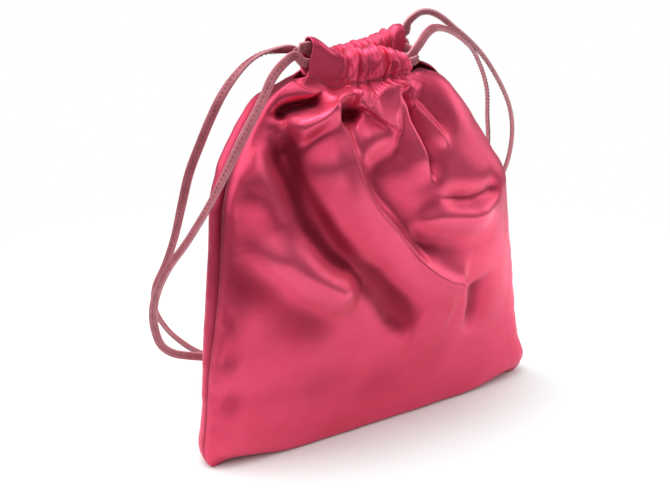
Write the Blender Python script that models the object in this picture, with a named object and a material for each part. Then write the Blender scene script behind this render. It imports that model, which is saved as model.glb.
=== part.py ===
"""Drawstring pouch of satin with two leather drawcords, standing on its base.

Two panels of cloth, front and back, meet in a seam down each side and along the base. The top
of each panel is turned over inwards and stitched down, which makes a casing, and the two
drawcords run through both casings and gather the mouth. Metres, +Z up, front towards -Y.
"""
from collections import namedtuple
import math

import bmesh
import bpy
import numpy as np

# Body of the pouch
HALF_WIDTH = 0.1130
STITCH_HEIGHT = 0.2060
FRONT_DEPTH = 0.0310
BACK_DEPTH = 0.0330
SEAM_SET_BACK = 0.0070
SIDE_PUFF = 0.0065
DEPTH_SHIFT = -0.0005

# Mouth and casings
MOUTH_WIDTH = 0.0660
MOUTH_SHIFT = -0.0125
MOUTH_SHEAR = 0.0070
CASING_HEIGHT = 0.0192
CASING_DIP = 0.0024
CASING_FLARE = 0.0024
CASING_SPACING = 0.0180
SLIT_START = 0.90
PLEAT_SPACING = 0.0068
PLEAT_DEPTH = 0.0044
INNER_PLEAT_DEPTH = 0.0014
# The gathered stretch of a casing in columns, and how gently the gathers start and stop
GATHER_START = -0.66
GATHER_END = 0.92
GATHER_EASE = (0.16, 0.30)

# Level section of the stuffed body: two powers of a rounded oblong, squarer near the base
SECTION_POWER = 2.6
BASE_POWER = 9.6
BASE_REACH = 0.22
SECTION_ROOT = 1.7
# Shares of the half width and of the height over which the seams, base and folds ease in
SEAM_ZONE = 0.5
BASE_SEAM_ZONE = 0.25
BASE_SEAM_REACH = 0.05
LIFT_START = 0.8
SHEAR_START = 0.7
FOLD_CLEAR_SEAM = 0.06
FOLD_CLEAR_BASE = (0.06, 0.08)
FOLD_CLEAR_STITCH = 0.03
GATHER_FADE_START = 0.84

# Cloth, cord and thread
CLOTH = 0.0008
SEAM_ROLL = 0.0014
CORD_WIDTH = 0.0050
CORD_CLEARANCE = 0.0010
THREAD_WIDTH = 0.0006
TOUCH_GAP = 0.0003
HEM_GAP = 0.0010
CORD_STEP = 0.0146
CORD_BEND_DETAIL = 0.0180
# Where a cord's two ends meet inside the back casing, as a share of the way out to its loop
CORD_JOIN = 0.45
CORD_END_GAP = 0.05
# How far a cord runs straight off a casing's end before it turns back into the other one
BRIDGE_LEAD = 0.0030
# Height of each cord above the stitch line, and how much higher it lies at the mouth's left end
CORD_LEVELS = {"lower": (0.0055, 0.0020), "upper": (0.0114, 0.0031)}

# Grid of a panel
COLUMNS = 40
BODY_ROWS = (0.0, 0.008, 0.045, 0.062, 0.085, 0.13, 0.20, 0.28, 0.36, 0.44, 0.52, 0.59, 0.66, 0.73,
             0.79, 0.845, 0.89, 0.93, 0.965, 1.0)
WALL_ROWS = (0.10, 0.23, 0.60)
CROWN_ANGLES = (0.0, 45.0, 90.0, 135.0, 180.0)

# Outlines, each row (share of the way up the cloth, value)
FLANK = {-1: ((0.0, 0.965), (0.03, 0.99), (0.07, 1.0), (0.13, 0.985), (0.26, 0.965), (0.42, 0.915),
              (0.55, 0.885), (0.70, 0.86), (1.0, 0.80)),
         1: ((0.0, 0.945), (0.03, 0.98), (0.07, 1.0), (0.12, 0.965), (0.22, 0.925), (0.36, 0.88),
             (0.50, 0.83), (0.62, 0.80), (1.0, 0.78))}
SHOULDER = {-1: ((0.0, 0.0), (0.66, 0.0), (0.74, 0.06), (0.80, 0.18), (0.90, 0.49), (0.965, 0.82),
                 (1.0, 1.0)),
            1: ((0.0, 0.0), (0.60, 0.01), (0.70, 0.20), (0.81, 0.48), (0.91, 0.75), (0.965, 0.90),
                (1.0, 1.0))}
RISE_AT_SEAM = ((0.0, 0.0), (0.008, 0.0045), (0.045, 0.03), (0.10, 0.085), (0.26, 0.255), (0.55, 0.572),
                (0.72, 0.775), (0.81, 0.885), (0.90, 0.97), (1.0, 1.0))
RISE_AT_MIDDLE = ((0.0, 0.0), (0.045, 0.0), (0.062, 0.008), (0.085, 0.035), (0.13, 0.085), (0.32, 0.30),
                  (0.55, 0.56), (0.78, 0.80), (1.0, 1.0))
FRONT_BULGE = ((0.0, 0.0), (0.045, 0.20), (0.062, 0.29), (0.085, 0.345), (0.13, 0.40), (0.22, 0.56),
               (0.36, 0.79), (0.52, 0.96), (0.66, 1.0), (0.80, 0.90), (0.90, 0.68), (0.965, 0.50),
               (1.0, 0.39))
BACK_BULGE = ((0.0, 0.0), (0.045, 0.58), (0.062, 0.66), (0.085, 0.71), (0.13, 0.76), (0.22, 0.85),
              (0.36, 0.95), (0.52, 1.0), (0.66, 0.98), (0.80, 0.84), (0.90, 0.62), (0.965, 0.46),
              (1.0, 0.365))
# Lift of the stitch line at the left and right end of each casing, and the casing's height there
STITCH_LIFT = {"front": (0.0080, 0.0000), "back": (0.0065, 0.0040)}
CASING_SHAPE = {"front": ((-1.0, 1.03), (-0.4, 0.98), (0.4, 0.95), (1.0, 0.88)),
                "back": ((-1.0, 1.02), (0.0, 0.95), (0.6, 0.95), (1.0, 0.94))}

Fold = namedtuple("Fold", "points height left right fade_in fade_out")
# A fold is a crest line in shares (across, up), with its height and the widths of its two sides
FRONT_FOLDS = (
    Fold(((-0.64, 0.95), (-0.51, 0.914), (-0.30, 0.796), (-0.08, 0.617), (0.14, 0.494), (0.37, 0.417),
          (0.53, 0.405)), 0.0052, 0.0150, 0.0060, 0.10, 0.12),
    Fold(((-0.80, 0.86), (-0.66, 0.77), (-0.52, 0.66), (-0.34, 0.545), (-0.12, 0.44), (0.08, 0.33),
          (0.22, 0.30)), -0.0055, 0.0080, 0.0100, 0.15, 0.15),
    Fold(((-0.95, 0.83), (-0.85, 0.74), (-0.72, 0.62), (-0.45, 0.54), (-0.10, 0.43)),
         0.0050, 0.0100, 0.0120, 0.10, 0.25),
    Fold(((-0.95, 0.865), (-0.84, 0.895), (-0.72, 0.94)), -0.0048, 0.0060, 0.0070, 0.20, 0.30),
    Fold(((-0.50, 1.0), (-0.56, 0.96), (-0.68, 0.92), (-0.80, 0.865)), 0.0060, 0.0085, 0.0085, 0.02, 0.25),
    Fold(((-0.50, 0.93), (-0.36, 0.915), (-0.18, 0.90), (-0.02, 0.875)), -0.0055, 0.0060, 0.0080, 0.20, 0.30),
    Fold(((-0.45, 0.825), (-0.18, 0.84), (0.04, 0.845), (0.22, 0.85)), 0.0036, 0.0080, 0.0100, 0.25, 0.20),
    Fold(((0.30, 0.985), (0.37, 0.907), (0.34, 0.813), (0.33, 0.70)), 0.0045, 0.0050, 0.0080, 0.02, 0.30),
    Fold(((0.41, 0.88), (0.37, 0.79), (0.38, 0.70)), -0.0040, 0.0050, 0.0060, 0.25, 0.30),
    Fold(((0.52, 0.985), (0.52, 0.92), (0.55, 0.82), (0.62, 0.76)), 0.0035, 0.0070, 0.0050, 0.02, 0.30),
    Fold(((0.62, 0.92), (0.66, 0.84), (0.78, 0.76)), -0.0036, 0.0070, 0.0080, 0.25, 0.30),
    Fold(((0.32, 0.68), (0.42, 0.632), (0.58, 0.618), (0.74, 0.63)), -0.0034, 0.0060, 0.0050, 0.20, 0.20),
    Fold(((0.04, 0.555), (0.20, 0.60), (0.46, 0.59), (0.82, 0.60)), 0.0036, 0.0080, 0.0090, 0.20, 0.20),
    Fold(((0.58, 0.43), (0.57, 0.36), (0.56, 0.26)), -0.0032, 0.0060, 0.0080, 0.20, 0.40),
)
BACK_FOLDS = (
    Fold(((-0.55, 0.97), (-0.50, 0.80), (-0.36, 0.60), (-0.30, 0.42)), 0.0048, 0.0090, 0.0120, 0.05, 0.40),
    Fold(((-0.25, 0.97), (-0.22, 0.82), (-0.08, 0.66)), -0.0045, 0.0080, 0.0080, 0.05, 0.40),
    Fold(((0.05, 0.97), (0.06, 0.80), (0.16, 0.62), (0.14, 0.40)), 0.0050, 0.0120, 0.0090, 0.05, 0.40),
    Fold(((0.40, 0.97), (0.38, 0.82), (0.46, 0.64)), -0.0045, 0.0080, 0.0080, 0.05, 0.40),
    Fold(((0.62, 0.96), (0.62, 0.80), (0.74, 0.62)), 0.0040, 0.0090, 0.0080, 0.05, 0.40),
    Fold(((-0.80, 0.62), (-0.45, 0.52), (-0.05, 0.54), (0.40, 0.46)), -0.0034, 0.0090, 0.0090, 0.25, 0.30),
    Fold(((-0.60, 0.30), (-0.10, 0.24), (0.45, 0.31)), 0.0030, 0.0120, 0.0120, 0.30, 0.30),
)

# Routes of the two free loops, each from the back casing round to the front casing
LEFT_LOOP = (
    (-0.0580, 0.0092, 0.2208), (-0.0650, 0.0103, 0.2215), (-0.0722, 0.0118, 0.2188),
    (-0.0793, 0.0138, 0.2125), (-0.0857, 0.0166, 0.2027), (-0.0911, 0.0205, 0.1892),
    (-0.0951, 0.0250, 0.1751), (-0.0987, 0.0305, 0.1590), (-0.1003, 0.0370, 0.1390),
    (-0.1010, 0.0450, 0.1180), (-0.1015, 0.0555, 0.0985), (-0.1030, 0.0650, 0.0820),
    (-0.0990, 0.0740, 0.0655), (-0.0880, 0.0820, 0.0480), (-0.0750, 0.0887, 0.0336),
    (-0.0600, 0.0950, 0.0205), (-0.0440, 0.1005, 0.0110), (-0.0290, 0.1043, 0.0050),
    (-0.0150, 0.1060, 0.0030), (-0.0040, 0.1060, 0.0030), (0.0055, 0.1018, 0.0030),
    (0.0094, 0.0925, 0.0030), (0.0055, 0.0832, 0.0030), (-0.0040, 0.0793, 0.0032),
    (-0.0150, 0.0788, 0.0045), (-0.0270, 0.0802, 0.0083), (-0.0420, 0.0828, 0.0140),
    (-0.0590, 0.0840, 0.0205), (-0.0740, 0.0815, 0.0265), (-0.0880, 0.0745, 0.0345),
    (-0.1007, 0.0655, 0.0465), (-0.1109, 0.0540, 0.0654), (-0.1172, 0.0415, 0.0834),
    (-0.1197, 0.0295, 0.0995), (-0.1195, 0.0170, 0.1155), (-0.1168, 0.0060, 0.1295),
    (-0.1126, -0.0030, 0.1445), (-0.1078, -0.0085, 0.1575), (-0.1027, -0.0125, 0.1703),
    (-0.0968, -0.0145, 0.1825), (-0.0905, -0.0148, 0.1926), (-0.0838, -0.0145, 0.2018),
    (-0.0765, -0.0135, 0.2110), (-0.0680, -0.0120, 0.2185), (-0.0590, -0.0106, 0.2215),
)
RIGHT_LOOP = (
    (0.0340, 0.0090, 0.2238), (0.0392, 0.0097, 0.2262), (0.0455, 0.0105, 0.2268),
    (0.0541, 0.0115, 0.2243), (0.0637, 0.0125, 0.2186), (0.0739, 0.0140, 0.2112),
    (0.0848, 0.0160, 0.2022), (0.0940, 0.0180, 0.1932), (0.1024, 0.0200, 0.1834),
    (0.1111, 0.0220, 0.1716), (0.1185, 0.0245, 0.1595), (0.1236, 0.0275, 0.1470),
    (0.1266, 0.0310, 0.1350), (0.1282, 0.0355, 0.1220), (0.1280, 0.0410, 0.1090),
    (0.1250, 0.0490, 0.0920), (0.1190, 0.0590, 0.0720), (0.1100, 0.0690, 0.0520),
    (0.0990, 0.0790, 0.0330), (0.0860, 0.0880, 0.0165), (0.0715, 0.0955, 0.0060),
    (0.0600, 0.0988, 0.0035), (0.0490, 0.0994, 0.0030), (0.0392, 0.0956, 0.0030),
    (0.0352, 0.0863, 0.0030), (0.0392, 0.0770, 0.0030), (0.0490, 0.0730, 0.0036),
    (0.0600, 0.0719, 0.0068), (0.0700, 0.0700, 0.0135), (0.0810, 0.0660, 0.0240),
    (0.0920, 0.0600, 0.0390), (0.1010, 0.0530, 0.0590), (0.1075, 0.0460, 0.0800),
    (0.1107, 0.0400, 0.1020), (0.1108, 0.0355, 0.1220), (0.1085, 0.0315, 0.1400),
    (0.1035, 0.0270, 0.1560), (0.0980, 0.0215, 0.1735), (0.0920, 0.0180, 0.1850),
    (0.0855, 0.0150, 0.1945), (0.0780, 0.0115, 0.2033), (0.0690, 0.0080, 0.2105),
    (0.0590, 0.0045, 0.2165), (0.0491, 0.0006, 0.2200), (0.0395, -0.0046, 0.2205),
    (0.0310, -0.0086, 0.2185),
)

MATERIALS = {
    "satin": ((0.58, 0.054, 0.117, 1.0), 0.42, 0.35),
    "leather": ((0.307, 0.061, 0.088, 1.0), 0.48, 0.0),
    "thread": ((0.40, 0.04, 0.085, 1.0), 0.60, 0.0),
}

SIDE = {"front": -1, "back": 1}
TUNNEL = CASING_SPACING / 2
CASING_HALF_DEPTH = CORD_WIDTH / 2 + CORD_CLEARANCE + CLOTH


def ease(share):
    """Smooth step: 0 below 0, 1 above 1, level at both."""
    share = np.clip(share, 0.0, 1.0)
    return share * share * (3.0 - 2.0 * share)


def curve(table, at):
    """Smooth curve through a table's rows that doesn't overshoot them."""
    keys, values = np.array(table).T
    steps = np.diff(keys)
    slopes = np.diff(values) / steps
    tangents = np.zeros_like(values)
    for i in range(1, len(keys) - 1):
        if slopes[i - 1] * slopes[i] > 0:
            tangents[i] = 2.0 / (1.0 / slopes[i - 1] + 1.0 / slopes[i])
    tangents[0], tangents[-1] = slopes[0], slopes[-1]
    at = np.asarray(at, float)
    i = np.clip(np.searchsorted(keys, at, side="right") - 1, 0, len(steps) - 1)
    t = (at - keys[i]) / steps[i]
    rise = t * t * (3.0 - 2.0 * t)
    bend = t * (1.0 - t) * steps[i] * ((1.0 - t) * tangents[i] - t * tangents[i + 1])
    return values[i] * (1.0 - rise) + values[i + 1] * rise + bend


def across(column, up):
    """Share across the pouch for a column of cloth: close together near the seams of the body."""
    gathered = ease((up - 0.5) / 0.5)
    return column * (1.5 - 0.5 * column * column) * (1.0 - gathered) + column * gathered


def edge(side, up):
    """Distance of a side seam from the middle of the pouch, by height."""
    mouth = MOUTH_WIDTH / 2 + side * MOUTH_SHIFT
    shoulder = curve(SHOULDER[side], up)
    return HALF_WIDTH * curve(FLANK[side], up) * (1.0 - shoulder) + mouth * shoulder


def body_surface(panel, column, up):
    """Smooth stuffed form of a panel below its stitch line, without folds."""
    u = across(column, up)
    middle = ease((1.0 - np.abs(u)) / SEAM_ZONE)
    slit_share = ease((up - SLIT_START) / (1.0 - SLIT_START))
    sheared = middle * ease((up - SHEAR_START) / (1.0 - SHEAR_START)) + (1.0 - middle) * slit_share
    x = (edge(1, up) * (1.0 + u) - edge(-1, up) * (1.0 - u)) / 2 + SIDE[panel] * MOUTH_SHEAR * sheared
    z = STITCH_HEIGHT * (curve(RISE_AT_SEAM, up) * (1.0 - middle) + curve(RISE_AT_MIDDLE, up) * middle)
    lift = np.where(u < 0, STITCH_LIFT[panel][0], STITCH_LIFT[panel][1])
    z = z + lift * (1.0 - middle) * ease((up - LIFT_START) / (1.0 - LIFT_START))
    power = SECTION_POWER + (BASE_POWER - SECTION_POWER) * (1.0 - ease(up / BASE_REACH))
    full = np.clip(1.0 - np.abs(u) ** power, 0.0, None) ** (1 / SECTION_ROOT)
    depth = (FRONT_DEPTH if panel == "front" else BACK_DEPTH)
    depth = depth * curve(FRONT_BULGE if panel == "front" else BACK_BULGE, up)
    slit = (TUNNEL + 0.6 * CASING_HALF_DEPTH) * slit_share
    puff = SIDE_PUFF if panel == "back" else SIDE_PUFF / 3
    x = x + np.sign(u) * puff * ease(up / 0.5) * ease((1.0 - up) / 0.1) * 4.0 * full * (1.0 - full)
    seam = SEAM_SET_BACK * ease((1.0 - np.abs(u)) / BASE_SEAM_ZONE) * (1.0 - ease(up / BASE_SEAM_REACH))
    y = SIDE[panel] * (slit + (depth - slit) * full) + seam
    return np.stack([x, y + DEPTH_SHIFT, z], axis=-1)


def crest_points(panel, fold, count):
    """Points of a fold's crest in the front view, x and z, on a smooth curve through its shares."""
    shares = np.array(fold.points)
    keys = np.linspace(0.0, 1.0, len(shares))
    at = np.linspace(0.0, 1.0, count)
    u = curve(tuple(zip(keys, shares[:, 0])), at)
    up = curve(tuple(zip(keys, shares[:, 1])), at)
    column = u.copy()
    for _ in range(12):
        column = column - (across(column, up) - u) / 1.5
    return body_surface(panel, np.clip(column, -1.0, 1.0), up)[:, [0, 2]]


def fold_height(panel, fold, x, z):
    """Height of one fold at each point: a rounded ridge about its crest, fading at both ends."""
    path = crest_points(panel, fold, 17)
    start, run = path[:-1], np.diff(path, axis=0)
    span = np.sum(run * run, axis=1)
    offset = np.stack([x, z], axis=-1)[..., None, :] - start
    share = np.clip(np.sum(offset * run, axis=-1) / span, 0.0, 1.0)
    away = offset - share[..., None] * run
    distance = np.linalg.norm(away, axis=-1)
    nearest = np.argmin(distance, axis=-1)[..., None]
    turn = run[:, 0] * away[..., 1] - run[:, 1] * away[..., 0]
    on_left = np.take_along_axis(turn, nearest, -1)[..., 0] > 0
    along = (nearest[..., 0] + np.take_along_axis(share, nearest, -1)[..., 0]) / len(run)
    width = np.where(on_left, fold.left, fold.right)
    reach = np.take_along_axis(distance, nearest, -1)[..., 0] / width
    fade = ease(along / fold.fade_in) * ease((1.0 - along) / fold.fade_out)
    return fold.height * fade * np.exp(-reach ** 1.6)


def gathered_stretch(column):
    """1 where a casing is gathered, easing to 0 at the smooth left end and at the right end."""
    return ease((column - GATHER_START) / GATHER_EASE[0]) * ease((GATHER_END - column) / GATHER_EASE[1])


def pleats(column):
    """Gathers along a casing: 1 on a pleat's outer edge, 0 in the tuck between two pleats."""
    wave = 0.5 + 0.5 * np.cos(2.0 * math.pi * (column + 0.5) * MOUTH_WIDTH / 2 / PLEAT_SPACING)
    return wave ** 0.8 * gathered_stretch(column)


def outward(points):
    """Unit normals of a grid of points, on the side that the cloth's face looks to."""
    normal = np.cross(np.gradient(points, axis=1), np.gradient(points, axis=0))
    return normal / np.linalg.norm(normal, axis=-1, keepdims=True)


def seam_normals(seam, direction):
    """Unit normals along a side seam, square to it and level with the seam's own plane."""
    run = np.gradient(seam, axis=0)
    normal = direction * np.stack([run[:, 2], np.zeros(len(run)), -run[:, 0]], axis=-1)
    normal = normal / np.linalg.norm(normal, axis=-1, keepdims=True)
    normal[0] = (0.35 * direction, 0.0, -0.94)
    return normal


def body_grid(panel, columns, rows):
    """Outer face of a panel up to its stitch line, with its folds and gathers."""
    column, up = np.meshgrid(columns, rows)
    base = body_surface(panel, column, up)
    normal = outward(base) * -SIDE[panel]
    folds = FRONT_FOLDS if panel == "front" else BACK_FOLDS
    height = sum(fold_height(panel, fold, base[..., 0], base[..., 2]) for fold in folds)
    clear = ease((1.0 - np.abs(across(column, up))) / FOLD_CLEAR_SEAM)
    clear = clear * ease((up - FOLD_CLEAR_BASE[0]) / FOLD_CLEAR_BASE[1])
    height = height * clear * ease((1.0 - up) / FOLD_CLEAR_STITCH)
    gather = pleats(column) * ease((up - GATHER_FADE_START) / (1.0 - GATHER_FADE_START)) * 0.8 * PLEAT_DEPTH
    points = base + normal * height[..., None]
    points[..., 1] += SIDE[panel] * gather
    inside = (np.abs(column) < 1.0) & (up > 0.0)
    points[..., 1] += SIDE[panel] * (TOUCH_GAP / 2 + SEAM_ROLL * inside)
    return points


def casing_grid(panel, stitch_line, columns):
    """Face of the turned-over casing, from the stitch line up, over and down to the hem's edge."""
    side = SIDE[panel]
    gather = pleats(columns)
    dip = CASING_DIP * (1.0 - gather) * gathered_stretch(columns)
    height = CASING_HEIGHT * curve(CASING_SHAPE[panel], columns) - dip
    outer = CASING_HALF_DEPTH + PLEAT_DEPTH * gather
    inner = CASING_HALF_DEPTH + INNER_PLEAT_DEPTH * gather
    crown = CASING_HALF_DEPTH + 0.2 * PLEAT_DEPTH * gather
    flare = CASING_FLARE * np.abs(columns) ** 3 * np.sign(columns)
    centre = DEPTH_SHIFT + side * TUNNEL
    start = side * (stitch_line[:, 1] - centre)
    hem = start - 2.0 * CLOTH - HEM_GAP
    rows = []
    for share in WALL_ROWS:
        out = start + (outer - start) * ease(share / 0.25)
        rows.append((out, share * (height - crown), share))
    for angle in np.radians(CROWN_ANGLES):
        reach = outer if math.cos(angle) > 0 else inner
        rows.append((math.cos(angle) * reach, height - crown + crown * math.sin(angle), 1.0))
    for share in reversed(WALL_ROWS):
        back = hem + (-inner - hem) * ease(share / 0.21)
        rows.append((back, share * (height - crown), share))
    rows.append((hem, np.zeros_like(hem), 0.0))
    grid = [np.stack([stitch_line[:, 0] + flare * share, centre + side * out, stitch_line[:, 2] + up],
                     axis=-1) for out, up, share in rows]
    return np.array(grid)


def panel_faces(panel):
    """Outer and inner face of a panel, as two grids of the same shape."""
    columns = np.linspace(-1.0, 1.0, COLUMNS + 1)
    lower = body_grid(panel, columns, np.array(BODY_ROWS))
    outer = np.concatenate([lower, casing_grid(panel, lower[-1], columns)])
    normal = outward(outer) * -SIDE[panel]
    sewn = sum(up < SLIT_START for up in BODY_ROWS)
    for edge_column, direction in ((0, -1.0), (-1, 1.0)):
        normal[:sewn, edge_column] = seam_normals(outer[:sewn, edge_column], direction)
    normal[0, 1:-1] = (0.0, 0.0, -1.0)
    return outer, outer - CLOTH * normal


def finish_material(name):
    """Principled material by name, from the table of finishes."""
    material = bpy.data.materials.get(name)
    if material:
        return material
    colour, roughness, metallic = MATERIALS[name]
    material = bpy.data.materials.new(name)
    material.use_nodes = True
    shader = material.node_tree.nodes["Principled BSDF"]
    shader.inputs["Base Color"].default_value = colour
    shader.inputs["Roughness"].default_value = roughness
    shader.inputs["Metallic"].default_value = metallic
    material.diffuse_color = colour
    return material


def add_object(name, data, material, collection):
    """Link new data as a named object with its material."""
    item = bpy.data.objects.new(name, data)
    data.materials.append(finish_material(material))
    collection.objects.link(item)
    return item


def rim_steps(rows, columns):
    """Pairs of neighbouring points round the edge of a grid, row by row numbered."""
    bottom = list(range(columns))
    right = [row * columns + columns - 1 for row in range(1, rows)]
    top = [(rows - 1) * columns + column for column in reversed(range(columns - 1))]
    left = [row * columns for row in reversed(range(1, rows - 1))]
    loop = bottom + right + top + left
    return list(zip(loop, loop[1:] + loop[:1]))


def add_panel(panel, collection):
    """One panel: a grid for each face of the cloth, joined all round its edge."""
    outer, inner = panel_faces(panel)
    rows, columns = outer.shape[:2]
    mesh_data = bmesh.new()
    layers = []
    for face in (outer, inner):
        made = bmesh.ops.create_grid(mesh_data, x_segments=columns - 1, y_segments=rows - 1, size=0.5)
        for vertex, place in zip(made["verts"], face.reshape(-1, 3)):
            vertex.co = place
        layers.append(made["verts"])
    for a, b in rim_steps(rows, columns):
        mesh_data.faces.new((layers[0][a], layers[0][b], layers[1][b], layers[1][a]))
    bmesh.ops.triangulate(mesh_data, faces=mesh_data.faces)
    bmesh.ops.recalc_face_normals(mesh_data, faces=mesh_data.faces)
    mesh = bpy.data.meshes.new(panel + "_panel")
    mesh_data.to_mesh(mesh)
    mesh_data.free()
    mesh.shade_smooth()
    mesh.set_sharp_from_angle(angle=math.radians(60.0))
    return add_object(panel + "_panel", mesh, "satin", collection)


def smooth_route(points, step):
    """Points on a smooth curve through the given ones, a step apart and closer where it bends."""
    points = np.array(points)
    lengths = np.linalg.norm(np.diff(points, axis=0), axis=1)
    keys = np.concatenate([[0.0], np.cumsum(np.sqrt(lengths))])
    slopes = np.gradient(points, keys, axis=0)
    at = np.linspace(0.0, keys[-1], 3000)
    i = np.clip(np.searchsorted(keys, at, side="right") - 1, 0, len(keys) - 2)
    gap = np.diff(keys)[i][:, None]
    t = (at - keys[i])[:, None] / gap
    fine = ((1 + 2 * t) * (1 - t) ** 2 * points[i] + t * (1 - t) ** 2 * gap * slopes[i]
            + t * t * (3 - 2 * t) * points[i + 1] + t * t * (t - 1) * gap * slopes[i + 1])
    pace = np.linalg.norm(np.diff(fine, axis=0), axis=1)
    heading = np.diff(fine, axis=0) / pace[:, None]
    turning = np.linalg.norm(np.gradient(heading, axis=0), axis=1)
    run = np.concatenate([[0.0], np.cumsum(pace + CORD_BEND_DETAIL * turning)])
    count = max(2, round(run[-1] / step) + 1)
    even = np.linspace(0.0, run[-1], count)
    return np.stack([np.interp(even, run, fine[:, k]) for k in range(3)], axis=-1)


def add_tube(name, points, width, material, collection):
    """Round tube along points: a curve with filled ends."""
    data = bpy.data.curves.new(name, "CURVE")
    data.dimensions = "3D"
    data.bevel_depth = width / 2
    data.bevel_resolution = 2
    data.use_fill_caps = True
    spline = data.splines.new("POLY")
    spline.points.add(len(points) - 1)
    for point, place in zip(spline.points, points):
        point.co = (*place, 1.0)
    return add_object(name, data, material, collection)


def casing_run(panel, level, columns):
    """Middle of a cord's way through a casing, at the given columns."""
    columns = np.asarray(columns, float)
    stitch = body_surface(panel, columns, np.ones_like(columns))
    x = stitch[:, 0] + 0.5 * CASING_FLARE * columns ** 3
    y = np.full_like(x, DEPTH_SHIFT + SIDE[panel] * TUNNEL)
    height, left_rise = CORD_LEVELS[level]
    z = stitch[:, 2] + height + left_rise * ease((-columns - 0.4) / 0.5)
    return np.stack([x, y, z], axis=-1)


def bridge(end, level):
    """Way of a cord round one end of the mouth, from the back casing to the front casing.

    It is a half circle off the end of the casing that reaches further out.
    """
    back = casing_run("back", level, [end])[0]
    front = casing_run("front", level, [end])[0]
    centre = end * max(end * back[0], end * front[0])
    points = []
    for angle in np.radians((90.0, 60.0, 30.0, 0.0, -30.0, -60.0, -90.0)):
        share = (1.0 - math.sin(angle)) / 2
        height = back[2] * (1.0 - share) + front[2] * share
        x = centre + end * (BRIDGE_LEAD + TUNNEL * math.cos(angle))
        points.append((x, DEPTH_SHIFT + TUNNEL * math.sin(angle), height))
    return points


def cord_route(end, level, loop):
    """Whole way of a drawcord: out of the back casing, round its free loop, and back to its start.

    end is the side that its free loop hangs on, -1 left or 1 right. The two ends of the cord
    meet inside the back casing.
    """
    out = np.linspace(CORD_JOIN + CORD_END_GAP, 1.0, 5) * end
    through = np.linspace(1.0, -1.0, 13) * end
    home = np.linspace(-1.0, CORD_JOIN, 10) * end
    points = [*casing_run("back", level, out), *loop, *casing_run("front", level, through)]
    points += [*reversed(bridge(-end, level)), *casing_run("back", level, home)]
    return smooth_route(points, CORD_STEP)


def add_drawcords(collection):
    """The two drawcords, each whole."""
    add_tube("left_drawcord", cord_route(-1, "lower", LEFT_LOOP), CORD_WIDTH, "leather", collection)
    add_tube("right_drawcord", cord_route(1, "upper", RIGHT_LOOP), CORD_WIDTH, "leather", collection)


def add_casing_stitching(panel, collection):
    """Row of stitches that holds the turned-over hem, and the stitched edge at each slit."""
    outer, _ = panel_faces(panel)
    normal = outward(outer) * -SIDE[panel]
    raised = outer + normal * (TOUCH_GAP + THREAD_WIDTH)
    stitch_row = len(BODY_ROWS) - 1
    row = raised[stitch_row, 1:-1]
    add_tube(panel + "_casing_stitching", row, THREAD_WIDTH, "thread", collection)
    top = stitch_row + len(WALL_ROWS)
    for name, column in (("left", 4), ("right", COLUMNS - 2)):
        line = raised[stitch_row + 1:top + 1, column]
        add_tube(f"{panel}_{name}_slit_stitching", line, THREAD_WIDTH, "thread", collection)


def add_seam_stitching(collection):
    """Threads of the side seams and the base seam, just inside the edge of the cloth."""
    rows = np.array(BODY_ROWS)[2:-4]
    inset = CLOTH + TOUCH_GAP + THREAD_WIDTH
    for name, side in (("left", -1), ("right", 1)):
        seam = body_surface("front", np.full_like(rows, side), rows)
        line = (seam - inset * seam_normals(seam, side))[1:-1:2]
        add_tube(name + "_seam_stitching", line, THREAD_WIDTH, "thread", collection)
    columns = np.linspace(-1.0, 1.0, COLUMNS + 1)[4:-3:2]
    base = body_surface("front", columns, np.zeros_like(columns))
    base[:, 2] += inset
    add_tube("base_seam_stitching", base, THREAD_WIDTH, "thread", collection)


def main():
    """Clear the scene and build every piece of the pouch."""
    for item in list(bpy.data.objects):
        bpy.data.objects.remove(item)
    collection = bpy.data.collections.new("drawstring_pouch")
    bpy.context.scene.collection.children.link(collection)
    for panel in SIDE:
        add_panel(panel, collection)
        add_casing_stitching(panel, collection)
    add_drawcords(collection)
    add_seam_stitching(collection)


main()
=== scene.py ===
"""Looks of a stuffed satin drawstring pouch with two flat leather drawcords.

The two panels, the straps and the stitches are surfaces worked out with numpy on a grid and put
into their meshes whole. Metres, +Z up, front towards -Y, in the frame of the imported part.
"""
from dataclasses import dataclass, field, replace
from enum import Enum
import logging
import math

import bpy
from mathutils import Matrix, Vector
import numpy as np


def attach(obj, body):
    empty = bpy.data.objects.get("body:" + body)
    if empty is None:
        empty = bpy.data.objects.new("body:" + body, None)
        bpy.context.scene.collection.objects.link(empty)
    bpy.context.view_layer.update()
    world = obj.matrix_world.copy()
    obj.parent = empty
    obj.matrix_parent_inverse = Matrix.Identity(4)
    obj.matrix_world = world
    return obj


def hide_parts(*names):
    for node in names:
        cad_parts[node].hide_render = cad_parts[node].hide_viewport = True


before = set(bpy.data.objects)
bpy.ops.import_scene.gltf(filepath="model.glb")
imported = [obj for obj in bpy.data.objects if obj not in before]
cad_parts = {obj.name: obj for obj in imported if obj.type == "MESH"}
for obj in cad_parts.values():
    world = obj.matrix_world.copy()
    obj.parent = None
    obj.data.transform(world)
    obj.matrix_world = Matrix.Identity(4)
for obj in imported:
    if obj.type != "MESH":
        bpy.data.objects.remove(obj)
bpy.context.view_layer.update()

LOG = logging.getLogger("pouch")
Array = np.ndarray
Piece = bpy.types.Object
Socket = bpy.types.NodeSocket
Colour = tuple[float, float, float]
Pair = tuple[float, float]
Table = tuple[Pair, ...]
ROOT = "root"
SEED = 7
# Least length that a vector is divided by
TINY = 1e-12
# Steps in which a share across is turned back into a column of cloth, and the steepest slope of
# the share over the column
SOLVE_STEPS = 12
STEEPEST = 1.5
# Shape of a stitch's rounded tips, and its least share of the thread's radius
TIP_POWER = 3.5
TIP_LEAST = 0.06
# How far the stitches on the casings stand off the cloth
STITCH_CLEARANCE = 0.00012
# Columns of cloth left free at both ends of a hem's stitches
HEM_MARGIN = 3
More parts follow.
